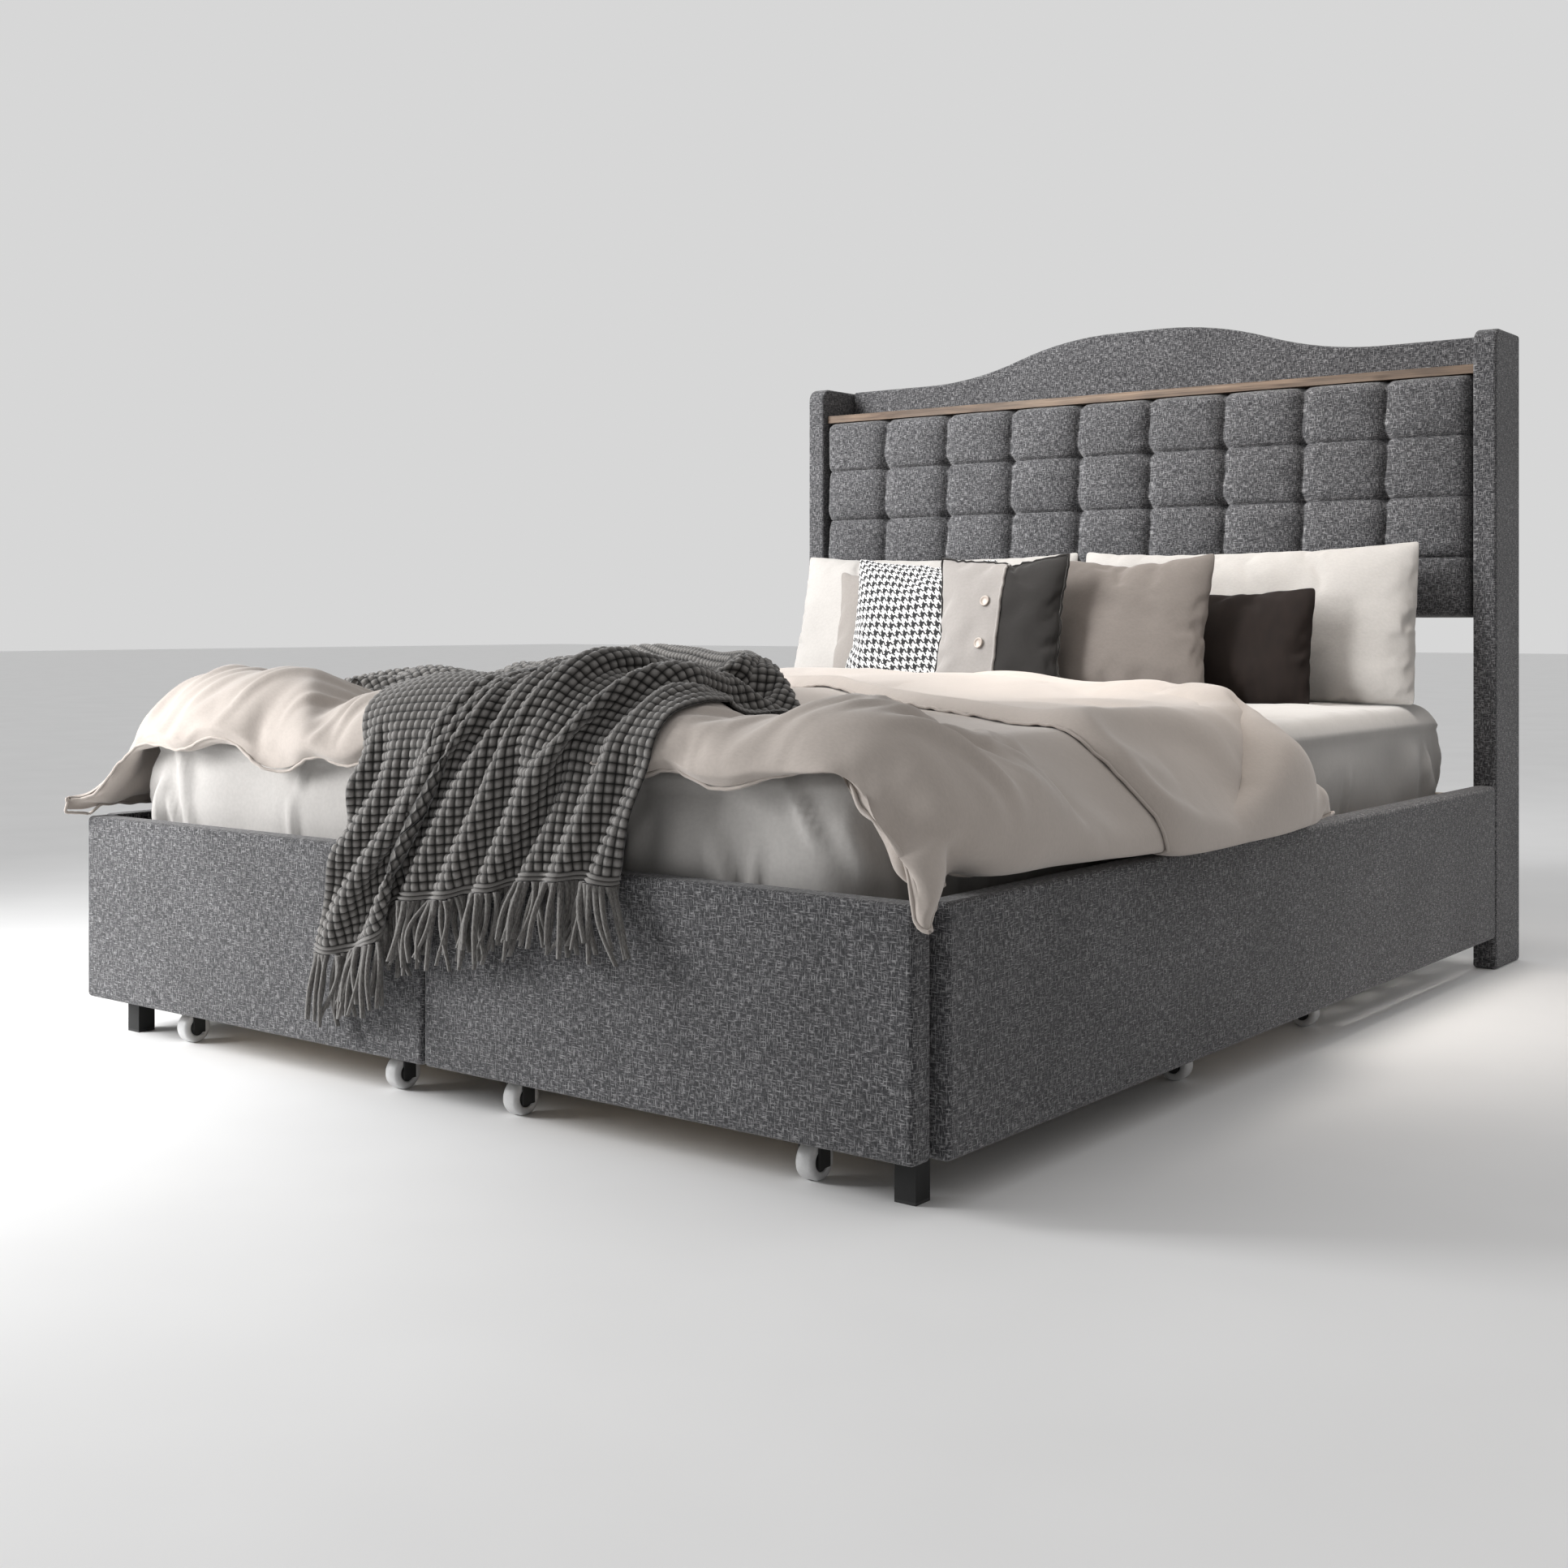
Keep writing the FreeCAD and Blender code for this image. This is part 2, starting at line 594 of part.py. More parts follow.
def make_brackets_and_bolts():
    """Gussets at the foot corners, flat bars from the side rails to the wings, and their bolts."""
    rail_outer = "Dims.rail_inner_x + Dims.rail_width"
    wing_inner = "Dims.side_outer_x - Dims.wing_thickness"
    rail_top = "Dims.rail_bottom + Dims.rail_height"
    bar_thickness = f"({wing_inner} - ({rail_outer}))"
    bar_z = "Dims.rail_bottom + (Dims.rail_height - Dims.bracket_height) / 2"
    bolt_z = "Dims.rail_bottom + Dims.rail_height / 2"
    brackets, bolts = [], []
    for side, sign in (("left", -1), ("right", 1)):
        gusset_x = {1: f"{rail_outer} - Dims.gusset_length", -1: f"-({rail_outer})"}[sign]
        brackets.append(block(
            f"gusset_{side}", ("Dims.gusset_length", "Dims.gusset_depth", "Dims.gusset_thickness"),
            (gusset_x, FOOT + "Dims.rail_start", rail_top)))
        bar_x = {1: rail_outer, -1: f"-({wing_inner})"}[sign]
        brackets.append(block(
            f"bar_{side}", (bar_thickness, "Dims.bracket_length", "Dims.bracket_height"),
            (bar_x, FOOT + "Dims.bracket_start", bar_z)))
        for i, inset in enumerate(("0.25", "0.75")):
            bolts.append(rod(
                f"gusset_bolt_{side}_{i}", "Dims.bolt_head_radius", "Dims.bolt_head_height",
                (f"{gusset_x} + {inset} * Dims.gusset_length",
                 FOOT + "Dims.rail_start + Dims.rail_width / 2",
                 f"{rail_top} + Dims.gusset_thickness")))
        # Two heads on the rail's inner face and two on the bar where it lies on the wing.
        on_rail = {1: "Dims.rail_inner_x - Dims.bolt_head_height", -1: "-Dims.rail_inner_x"}[sign]
        on_bar = {1: f"{rail_outer} - Dims.bolt_head_height", -1: f"-({rail_outer})"}[sign]
        for i, (x, share) in enumerate(((on_rail, "0.08"), (on_rail, "0.19"), (on_bar, "0.66"),
                                        (on_bar, "0.88"))):
            y = FOOT + f"Dims.bracket_start + {share} * Dims.bracket_length"
            bolts.append(rod(f"bar_bolt_{side}_{i}", "Dims.bolt_head_radius",
                             "Dims.bolt_head_height", (x, y, bolt_z), BED, Z_TO_X))
    node(group("corner_brackets", brackets), "corner_brackets")
    node(group("frame_bolts", bolts), "frame_bolts")


# ---------------------------------------------------------------- drawer boxes and casters
# Each drawer is drawn in its own frame: the origin is on the floor under the middle of the
# front's inner face, and the box runs along +Y, so the drawer opens along -Y.


def make_box(prefix, place, half):
    depth, board, under = "Dims.drawer_depth", "Dims.board_thickness", "Dims.box_underside"
    side = (board, depth, "Dims.wall_height")
    end = (f"2 * {half} - 2 * {board}", board, "Dims.wall_height")
    walls = [
        block(f"{prefix}_wall_a", side, (f"-{half}", "0", under), place),
        block(f"{prefix}_wall_b", side, (f"{half} - {board}", "0", under), place),
        block(f"{prefix}_wall_front", end, (f"-{half} + {board}", "0", under), place),
        block(f"{prefix}_wall_rear", end, (f"-{half} + {board}", f"{depth} - {board}", under),
              place),
    ]
    name = f"{prefix}_drawer_walls"
    node(group(name, walls), name)
    name = f"{prefix}_drawer_bottom"
    size = (f"2 * {half} - 2 * {board}", f"{depth} - 2 * {board}", "Dims.bottom_thickness")
    node(block(name, size, (f"-{half} + {board}", board, under), place), name)


def make_bracket(name, x, y, place):
    """Caster housing: a top plate, two cheeks and the axle riveted between them."""
    inner = "Dims.wheel_width / 2 + Dims.wheel_gap"
    plate_z = "Dims.box_underside - Dims.plate_thickness"
    cheek_z = "Dims.wheel_radius - Dims.fork_below_axle"
    cheek = ("Dims.fork_thickness", "2 * Dims.fork_half_depth", f"{plate_z} - ({cheek_z})")
    cheek_y = f"{y} - Dims.fork_half_depth"
    plate = block(f"{name}_plate",
                  ("2 * Dims.plate_half_width", "2 * Dims.plate_half_length",
                   "Dims.plate_thickness"),
                  (f"{x} - Dims.plate_half_width", f"{y} - Dims.plate_half_length", plate_z), place)
    left = block(f"{name}_cheek_a", cheek,
                 (f"{x} - ({inner}) - Dims.fork_thickness", cheek_y, cheek_z), place)
    right = block(f"{name}_cheek_b", cheek, (f"{x} + {inner}", cheek_y, cheek_z), place)
    axle = rod(f"{name}_axle", "Dims.axle_radius", f"2 * ({inner}) + 2 * Dims.fork_thickness",
               (f"{x} - ({inner}) - Dims.fork_thickness", y, "Dims.wheel_radius"), place, Z_TO_X)
    return fuse(name, [plate, left, right, axle])


def make_wheel(name, x, y, place):
    """Caster wheel: a rounded tread with the axle's bore through it."""
    body = doc.addObject("PartDesign::Body", name)
    sketch = new_sketch(body, f"{name}_sketch")
    for alias in ("wheel_radius", "bore_radius"):
        ring = Part.Circle(FreeCAD.Vector(), FreeCAD.Vector(0, 0, 1), dim(alias))
        number = sketch.addGeometry(ring)
        sketch.addConstraint(Sketcher.Constraint("Coincident", number, 3, -1, 1))
        bind(sketch, "Radius", (number,), dim(alias), alias, f"Dims.{alias}")
    tread = pad(body, sketch, "Dims.wheel_width")
    rims = []
    for number, edge in enumerate(tread.Shape.Edges, start=1):
        if isinstance(edge.Curve, Part.Circle) and edge.Curve.Radius > dim("bore_radius") + 1:
            rims.append(f"Edge{number}")
    rounded = body.newObject("PartDesign::Fillet", f"{name}_round")
    rounded.Base = (tread, rims)
    rounded.setExpression("Radius", "Dims.wheel_round")
    body.Tip = rounded
    put(body, (f"{x} - Dims.wheel_width / 2", y, "Dims.wheel_radius"), place, Z_TO_X)
    return body


def make_casters(prefix, place, spread, front_y):
    brackets = []
    for row, y in (("front", front_y), ("rear", "Dims.caster_rear")):
        wheels = []
        for side, sign in (("a", "-"), ("b", "")):
            x = f"{sign}{spread}"
            brackets.append(make_bracket(f"{prefix}_{row}_bracket_{side}", x, y, place))
            wheels.append(make_wheel(f"{prefix}_{row}_wheel_{side}", x, y, place))
        name = f"{prefix}_{row}_wheels"
        node(group(name, wheels), name)
    name = f"{prefix}_caster_brackets"
    node(group(name, brackets), name)


def make_drawers():
    foot_y = "Dims.foot_face_y + Dims.front_thickness"
    side_y = "Dims.foot_face_y + Dims.side_drawer_y"
    side_x = "Dims.side_outer_x - Dims.front_thickness"
    places = {
        "foot_left": Place("-Dims.foot_drawer_x", foot_y),
        "foot_right": Place("Dims.foot_drawer_x", foot_y),
        "side_left": Place(f"-({side_x})", side_y, -1),
        "side_right": Place(side_x, side_y, 1),
    }
    for prefix, place in places.items():
        kind = prefix.split("_")[0]
        make_box(prefix, place, f"Dims.{kind}_drawer_half")
        make_casters(prefix, place, f"Dims.{kind}_caster_spread", f"Dims.{kind}_caster_front")


# ---------------------------------------------------------------- bedding


def make_duvet():
    """Thick cover over the mattress: open towards the pillows, its foot hem above its side hems."""
    inner_half = "(Dims.mattress_half_width + Dims.duvet_lining_gap)"
    inner_top = "(Dims.mattress_bottom + Dims.mattress_height + Dims.duvet_lining_gap)"
    length = "Dims.duvet_end - Dims.duvet_start"
    size = ("2 * Dims.duvet_half_width", length, "Dims.duvet_top - Dims.duvet_hem")
    start = (2 * dim("duvet_half_width"), dim("duvet_end") - dim("duvet_start"))
    at = ("-Dims.duvet_half_width", FOOT + "Dims.duvet_start", "Dims.duvet_hem")
    outer = padded_block("duvet_outer", size, at, "Dims.duvet_round", start)
    bed = block("duvet_bed_space", (f"2 * {inner_half}", length, f"{inner_top} - Dims.duvet_hem"),
                (f"-{inner_half}", FOOT + "Dims.mattress_start - Dims.duvet_lining_gap",
                 "Dims.duvet_hem"))
    foot = block("duvet_foot_space",
                 ("2 * Dims.duvet_half_width", "Dims.mattress_start",
                  "Dims.duvet_foot_hem - Dims.duvet_hem"),
                 ("-Dims.duvet_half_width", FOOT + "0", "Dims.duvet_hem"))
    node(cut("duvet", cut("duvet_over_bed", outer, bed), foot), "duvet")


def make_throw():
    """Knitted throw: a sheet on the duvet that turns down at the foot, and two hanging ends."""
    width = "Dims.throw_right_x - Dims.throw_left_x"
    top_z = "Dims.duvet_top + 0.5"
    top = block("throw_over", (width, "Dims.throw_end", "Dims.throw_thickness"),
                ("Dims.throw_left_x", FOOT + "Dims.drop_gap", top_z))
    down = block("throw_down",
                 ("Dims.drop_right_start + Dims.drop_right_width - Dims.drop_left_start",
                  "Dims.throw_thickness", f"{top_z} - Dims.throw_hem"),
                 ("Dims.drop_left_start", FOOT + "Dims.drop_gap", "Dims.throw_hem"))
    node(fuse("throw_top", [top, down]), "throw_top")
    for side in ("left", "right"):
        name = f"throw_drop_{side}"
        bottom = f"Dims.drop_{side}_bottom"
        size = (f"Dims.drop_{side}_width", "Dims.drop_thickness", f"Dims.drop_top - {bottom}")
        at = (f"Dims.drop_{side}_start", FOOT + "-Dims.drop_gap - Dims.drop_thickness", bottom)
        node(block(name, size, at), name)


def make_pillows():
    """Stuffed rectangles that lean back on one another, row by row, against the headboard."""
    lean = FreeCAD.Rotation(FreeCAD.Vector(1, 0, 0), -dim("pillow_lean"))
    drop = math.sin(math.radians(dim("pillow_lean")))
    bed_top = "Dims.mattress_bottom + Dims.mattress_height + 1"
    for name, (left, right, y, thickness, height) in PILLOWS.items():
        size = (str(right - left), str(thickness), str(height))
        at = (str(left), FOOT + str(y), f"{bed_top} + {round(thickness * drop, 2)}")
        radius = f"{thickness} * Dims.pillow_edge_share"
        pillow = padded_block(name, size, at, radius, (right - left, thickness), BED, lean)
        node(pillow, name)


def make_bedding():
    size = ("2 * Dims.mattress_half_width", "Dims.mattress_length", "Dims.mattress_height")
    at = ("-Dims.mattress_half_width", FOOT + "Dims.mattress_start", "Dims.mattress_bottom")
    start = (2 * dim("mattress_half_width"), dim("mattress_length"))
    node(padded_block("mattress", size, at, "Dims.mattress_round", start), "mattress")
    make_duvet()
    make_throw()
    make_pillows()


# ---------------------------------------------------------------- build, check and write


def check_and_export():
    doc.recompute()
    failed = [o.Label for o in doc.Objects if "Invalid" in o.State or "Error" in o.State]
    if failed:
        raise RuntimeError(f"failed objects: {failed}")
    os.makedirs(NODES_DIR, exist_ok=True)
    for thing in nodes:
        shape = thing.Shape
        if shape.isNull() or not shape.isValid() or not shape.Solids:
            raise RuntimeError(f"{thing.Label} has no valid solid")
    for thing in nodes:
        thing.Shape.exportStep(os.path.join(NODES_DIR, f"{thing.Label}.step"))
    print(f"{len(nodes)} nodes written")


fill_sheet()
make_fronts()
make_headboard()
make_rails()
make_legs()
make_slats()
make_brackets_and_bolts()
make_drawers()
make_bedding()
check_and_export()
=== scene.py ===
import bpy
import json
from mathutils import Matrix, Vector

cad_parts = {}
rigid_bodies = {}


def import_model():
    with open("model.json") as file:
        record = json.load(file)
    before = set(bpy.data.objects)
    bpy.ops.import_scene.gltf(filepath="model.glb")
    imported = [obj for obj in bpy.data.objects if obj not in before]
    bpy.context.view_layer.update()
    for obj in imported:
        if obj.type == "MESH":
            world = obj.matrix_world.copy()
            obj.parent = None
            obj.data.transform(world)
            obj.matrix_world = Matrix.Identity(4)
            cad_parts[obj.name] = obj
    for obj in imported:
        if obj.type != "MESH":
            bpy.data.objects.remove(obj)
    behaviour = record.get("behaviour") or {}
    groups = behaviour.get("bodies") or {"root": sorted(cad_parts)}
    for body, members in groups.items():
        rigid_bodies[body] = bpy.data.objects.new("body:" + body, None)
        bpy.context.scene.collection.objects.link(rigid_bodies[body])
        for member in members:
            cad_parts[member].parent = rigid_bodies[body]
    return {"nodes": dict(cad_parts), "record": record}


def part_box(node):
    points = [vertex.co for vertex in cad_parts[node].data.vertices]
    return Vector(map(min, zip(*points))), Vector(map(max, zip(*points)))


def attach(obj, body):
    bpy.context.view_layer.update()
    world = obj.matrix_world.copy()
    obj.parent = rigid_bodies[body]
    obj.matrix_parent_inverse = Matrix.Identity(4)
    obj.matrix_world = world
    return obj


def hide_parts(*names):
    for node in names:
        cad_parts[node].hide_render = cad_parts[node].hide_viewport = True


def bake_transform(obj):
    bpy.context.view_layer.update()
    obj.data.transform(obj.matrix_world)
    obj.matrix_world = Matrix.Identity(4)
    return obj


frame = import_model()

"""The looks of an upholstered platform bed with drawers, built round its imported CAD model.

Metres, +Z up, +Y to the headboard, +X to the right seen from the foot.  Distances called
"back" are counted along Y from the front face of the foot drawers.
"""
import json
import math

import bpy
import numpy as np
from mathutils import Vector
from mathutils.bvhtree import BVHTree

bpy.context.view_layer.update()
RECORD = frame["record"]
FOOT_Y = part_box("foot_left_drawer_front")[0].y
PANEL_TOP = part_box("foot_left_drawer_front")[1].z
BED_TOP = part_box("mattress")[1].z
DRAWERS = ("foot_left", "foot_right", "side_left", "side_right")
THROW_CELL = 0.0135
THROW_WIDTH, THROW_LENGTH = THROW_CELL * 60, THROW_CELL * 111
# Two directions at right angles: out over the bed's foot edge, and up over it to the head.
SLANT, SLANT_UP = (0.0, -0.6, 0.8), (0.0, 0.8, 0.6)


# ---------------------------------------------------------------- shader helpers


class Graph:
    """A material's node tree, with one call to add a node and link its inputs."""

    def __init__(self, name):
        self.material = bpy.data.materials.new(name)
        self.material.use_nodes = True
        self.tree = self.material.node_tree
        self.tree.nodes.clear()
        self.output = self.add("OutputMaterial")
        self.shader = self.add("BsdfPrincipled")
        self.link(self.shader.outputs["BSDF"], self.output.inputs["Surface"])

    def link(self, source, target):
        self.tree.links.new(source, target)

    def add(self, kind, settings=None, **inputs):
        node = self.tree.nodes.new("ShaderNode" + kind)
        for key, value in (settings or {}).items():
            setattr(node, key, value)
        for key, value in inputs.items():
            self.feed(node, int(key[1:]) if key[0] == "_" else key.replace("_", " "), value)
        return node

    def feed(self, node, key, value):
        socket = node.inputs[key]
        if isinstance(value, bpy.types.NodeSocket):
            self.link(value, socket)
        else:
            socket.default_value = value

    def math(self, operation, a, b=0.0):
        return self.add("Math", {"operation": operation}, _0=a, _1=b).outputs[0]

    def vector(self, operation, a, b=(0, 0, 0)):
        return self.add("VectorMath", {"operation": operation}, _0=a, _1=b).outputs[0]

    def join(self, x, y, z=0.0):
        return self.add("CombineXYZ", X=x, Y=y, Z=z).outputs[0]

    def split(self, vector):
        return self.add("SeparateXYZ", Vector=vector).outputs

    def noise(self, vector, scale, detail=2.0, roughness=0.5, flat=True, distortion=0.0):
        settings = {"noise_dimensions": "2D" if flat else "3D"}
        node = self.add("TexNoise", settings, Vector=vector, Scale=scale, Detail=detail,
                        Roughness=roughness, Distortion=distortion)
        return node.outputs[0]

    def ramp(self, factor, stops):
        node = self.add("ValToRGB", Fac=factor)
        elements = node.color_ramp.elements
        while len(elements) < len(stops):
            elements.new(0.5)
        for element, (position, colour) in zip(elements, stops):
            element.position = position
            element.color = (*colour, 1.0)
        return node.outputs[0]

    def mix(self, factor, a, b, blend="MIX"):
        node = self.add("Mix", {"data_type": "RGBA", "blend_type": blend}, _0=factor)
        self.feed(node, 6, a if isinstance(a, bpy.types.NodeSocket) else (*a, 1.0))
        self.feed(node, 7, b if isinstance(b, bpy.types.NodeSocket) else (*b, 1.0))
        return node.outputs[2]

    def object_coordinates(self):
        return self.add("TexCoord").outputs["Object"]

    def uv(self):
        return self.add("TexCoord").outputs["UV"]

    def surface_coordinates(self):
        """Two coordinates in metres along an upright or level face, whichever way it looks."""
        x, y, z = self.split(self.object_coordinates())
        upright = self.join(self.math("ADD", x, y), z)
        level = self.join(x, y)
        normal_z = self.split(self.add("TexCoord").outputs["Normal"])[2]
        is_level = self.math("GREATER_THAN", self.math("ABSOLUTE", normal_z), 0.72)
        node = self.add("Mix", {"data_type": "VECTOR"}, _0=is_level)
        self.feed(node, 4, upright)
        self.feed(node, 5, level)
        return node.outputs[1]

    def bump(self, height, strength, distance, previous=None):
        node = self.add("Bump", Height=height, Strength=strength, Distance=distance)
        if previous is not None:
            self.link(previous, node.inputs["Normal"])
        return node.outputs[0]

    def finish(self, colour, roughness, normal=None, **constants):
        if isinstance(colour, bpy.types.NodeSocket):
            self.link(colour, self.shader.inputs["Base Color"])
        else:
            self.shader.inputs["Base Color"].default_value = (*colour, 1.0)
        self.feed(self.shader, "Roughness", roughness)
        if normal is not None:
            self.link(normal, self.shader.inputs["Normal"])
        for key, value in constants.items():
            self.shader.inputs[key.replace("_", " ")].default_value = value
        return self.material


def grey(value):
    return (value, value, value)


# ---------------------------------------------------------------- materials


def upholstery_material():
    """Charcoal linen-look weave: pale slubs run both ways over a dark ground."""
    g = Graph("charcoal_linen")
    place = g.surface_coordinates()
    upright = g.noise(g.vector("MULTIPLY", place, (560, 84, 1)), 1.0, 2.0, 0.6)
    across = g.noise(g.vector("MULTIPLY", g.vector("ADD", place, (3.7, 1.9, 0)), (84, 560, 1)),
                     1.0, 2.0, 0.6)
    threads = g.math("MAXIMUM", upright, across)
    fine_up = g.noise(g.vector("MULTIPLY", place, (1150, 240, 1)), 1.0, 1.0)
    fine_across = g.noise(g.vector("MULTIPLY", place, (240, 1150, 1)), 1.0, 1.0)
    fine = g.math("MAXIMUM", fine_up, fine_across)
    mixed = g.math("ADD", g.math("MULTIPLY", threads, 0.8), g.math("MULTIPLY", fine, 0.2))
    tone = g.ramp(mixed, [(0.50, (0.032, 0.032, 0.035)), (0.575, (0.086, 0.085, 0.089)),
                          (0.655, (0.205, 0.203, 0.208)), (0.76, (0.36, 0.357, 0.362))])
    cloud = g.noise(place, 7.0, 2.0)
    tone = g.mix(1.0, tone, g.ramp(cloud, [(0.3, grey(0.84)), (0.7, grey(1.0))]), "MULTIPLY")
    normal = g.bump(mixed, 0.7, 0.0014)
    return g.finish(tone, 0.92, normal, Sheen_Weight=0.2, Sheen_Roughness=0.5,
                    Specular_IOR_Level=0.2)


def shelf_material():
    """Weathered grey-brown boards with long grain, dark streaks and a few knots."""
    g = Graph("weathered_wood")
    x, y, z = g.split(g.object_coordinates())
    place = g.join(x, g.math("ADD", y, z))
    long_grain = g.noise(g.vector("MULTIPLY", place, (2.2, 60, 1)), 1.0, 6.0, 0.6,
                         distortion=0.6)
    fine_grain = g.noise(g.vector("MULTIPLY", place, (9, 420, 1)), 1.0, 4.0, 0.6)
    stain = g.noise(g.vector("MULTIPLY", place, (5, 22, 1)), 1.0, 3.0)
    grain = g.math("ADD", g.math("MULTIPLY", long_grain, 0.7),
                   g.math("MULTIPLY", fine_grain, 0.3))
    colour = g.ramp(grain, [(0.30, (0.065, 0.043, 0.030)), (0.47, (0.145, 0.105, 0.078)),
                            (0.62, (0.215, 0.162, 0.122)), (0.78, (0.28, 0.22, 0.17))])
    colour = g.mix(0.55, colour, g.ramp(stain, [(0.35, (0.22, 0.20, 0.18)),
                                                (0.65, (0.62, 0.55, 0.47))]), "OVERLAY")
    knots = g.add("TexVoronoi", {"voronoi_dimensions": "2D"}, Scale=1.0,
                  Vector=g.vector("MULTIPLY", place, (3.4, 16, 1))).outputs["Distance"]
    colour = g.mix(g.ramp(knots, [(0.02, grey(0.85)), (0.09, grey(0.0))]), colour,
                   (0.07, 0.045, 0.03))
    normal = g.bump(fine_grain, 0.5, 0.0008)
    return g.finish(colour, 0.62, normal, Specular_IOR_Level=0.35)


def cotton_material(name, colour, variation=0.06, weave=0.25, sheen=0.3):
    """Plain cotton: a fine weave, slight tone changes and a soft sheen."""
    g = Graph(name)
    place = g.object_coordinates()
    cloud = g.noise(place, 5.0, 3.0, flat=False)
    low = tuple(c * (1 - variation) for c in colour)
    high = tuple(min(1.0, c * (1 + variation)) for c in colour)
    tone = g.ramp(cloud, [(0.3, low), (0.7, high)])
    threads = g.noise(place, 1400.0, 1.0, flat=False)
    slub = g.noise(g.vector("MULTIPLY", place, (160, 700, 160)), 1.0, 1.0, flat=False)
    tone = g.mix(0.12, tone, g.ramp(slub, [(0.35, grey(0.55)), (0.65, grey(1.0))]), "MULTIPLY")
    height = g.math("ADD", threads, g.math("MULTIPLY", slub, 0.6))
    crease = g.noise(place, 26.0, 3.0, 0.55, flat=False, distortion=0.4)
    normal = g.bump(height, weave, 0.0006, g.bump(crease, 0.10, 0.01))
    return g.finish(tone, 0.88, normal, Sheen_Weight=sheen, Sheen_Roughness=0.45,
                    Specular_IOR_Level=0.25)


def velvet_material(name, colour):
    """Short pile, brushed darker in places."""
    g = Graph(name)
    place = g.object_coordinates()
    nap = g.noise(g.vector("MULTIPLY", place, (60, 60, 18)), 1.0, 3.0, flat=False)
    brushed = g.ramp(nap, [(0.3, tuple(c * 0.7 for c in colour)), (0.7, colour)])
    pile = g.noise(place, 1600.0, 1.0, flat=False)
    normal = g.bump(pile, 0.3, 0.0006)
    return g.finish(brushed, 0.85, normal, Sheen_Weight=0.3, Sheen_Roughness=0.35,
                    Specular_IOR_Level=0.2)


def houndstooth_material():
    """Black and white broken check: a 2 by 2 twill of four dark and four light threads."""
    g = Graph("houndstooth")
    u, v, _ = g.split(g.uv())
    threads = 4
    check = 0.0165
    step = check / (2 * threads)
    warp = g.math("FLOOR", g.math("DIVIDE", u, step))
    weft = g.math("FLOOR", g.math("DIVIDE", v, step))

    def modulo(value, size):
        return g.math("FLOORED_MODULO", value, size)

    dark_warp = g.math("LESS_THAN", modulo(warp, 2.0 * threads), float(threads))
    dark_weft = g.math("LESS_THAN", modulo(weft, 2.0 * threads), float(threads))
    warp_on_top = g.math("LESS_THAN", modulo(g.math("ADD", warp, weft), 4.0), 2.0)
    dark = g.add("Mix", {"data_type": "FLOAT"}, _0=warp_on_top, _2=dark_weft,
                 _3=dark_warp).outputs[0]
    colour = g.mix(dark, (0.56, 0.555, 0.55), (0.02, 0.02, 0.022))
    fuzz = g.noise(g.object_coordinates(), 1300.0, 1.0, flat=False)
    normal = g.bump(fuzz, 0.3, 0.0008)
    return g.finish(colour, 0.9, normal, Sheen_Weight=0.2, Specular_IOR_Level=0.2)


def throw_material():
    """Dark taupe waffle knit: painted highlight on the ridges, painted shade in the deep seams
    between the cells.
    """
    g = Graph("waffle_knit")
    u, v, _ = g.split(g.uv())
    cell = THROW_CELL
    column = g.math("ABSOLUTE", g.math("SINE", g.math("MULTIPLY", u, math.pi / cell)))
    row = g.math("ABSOLUTE", g.math("SINE", g.math("MULTIPLY", v, math.pi / cell)))
    cells = g.math("MULTIPLY", g.math("POWER", column, 0.6), g.math("POWER", row, 0.6))
    cords = g.math("ABSOLUTE", g.math("SINE", g.math("MULTIPLY", v, 2 * math.pi / cell)))
    from_end = g.math("MINIMUM", v, g.math("SUBTRACT", THROW_LENGTH, v))
    band = g.math("LESS_THAN", from_end, cell)
    painted_ridge_light = g.add("Mix", {"data_type": "FLOAT"}, _0=band, _2=cells,
                  _3=g.math("POWER", cords, 0.6)).outputs[0]
    # Painted light: the seams between the cells and between the end cords are painted near black
    # as shade, and the ridges pale as highlight.
    colour = g.ramp(painted_ridge_light, [(0.10, (0.008, 0.0075, 0.007)), (0.45, (0.085, 0.080, 0.075)),
                            (0.95, (0.24, 0.23, 0.22))])
    yarn = g.noise(g.object_coordinates(), 1100.0, 2.0, flat=False)
    colour = g.mix(0.5, colour, g.ramp(yarn, [(0.35, grey(0.6)), (0.65, grey(1.0))]), "MULTIPLY")
    normal = g.bump(yarn, 0.35, 0.0008)
    return g.finish(colour, 0.85, normal, Sheen_Weight=0.4, Sheen_Roughness=0.4,
                    Specular_IOR_Level=0.25)


def yarn_material():
    """Twisted yarn of the fringes."""
    g = Graph("fringe_yarn")
    place = g.object_coordinates()
    yarn = g.noise(g.vector("MULTIPLY", place, (900, 900, 200)), 1.0, 2.0, flat=False)
    colour = g.ramp(yarn, [(0.3, (0.050, 0.046, 0.043)), (0.7, (0.185, 0.176, 0.166))])
    return g.finish(colour, 0.85, g.bump(yarn, 0.4, 0.0008), Sheen_Weight=0.3)


def board_material(name, colour, grain=0.35, roughness=0.55):
    """Wood or board with grain along its longest direction."""
    g = Graph(name)
    x, y, z = g.split(g.object_coordinates())
    place = g.join(x, g.math("ADD", y, z))
    lines = g.noise(g.vector("MULTIPLY", place, (4, 90, 1)), 1.0, 5.0, 0.6, distortion=0.5)
    low = tuple(c * (1 - grain) for c in colour)
    tone = g.ramp(lines, [(0.3, low), (0.7, colour)])
    return g.finish(tone, roughness, g.bump(lines, 0.25, 0.0006))


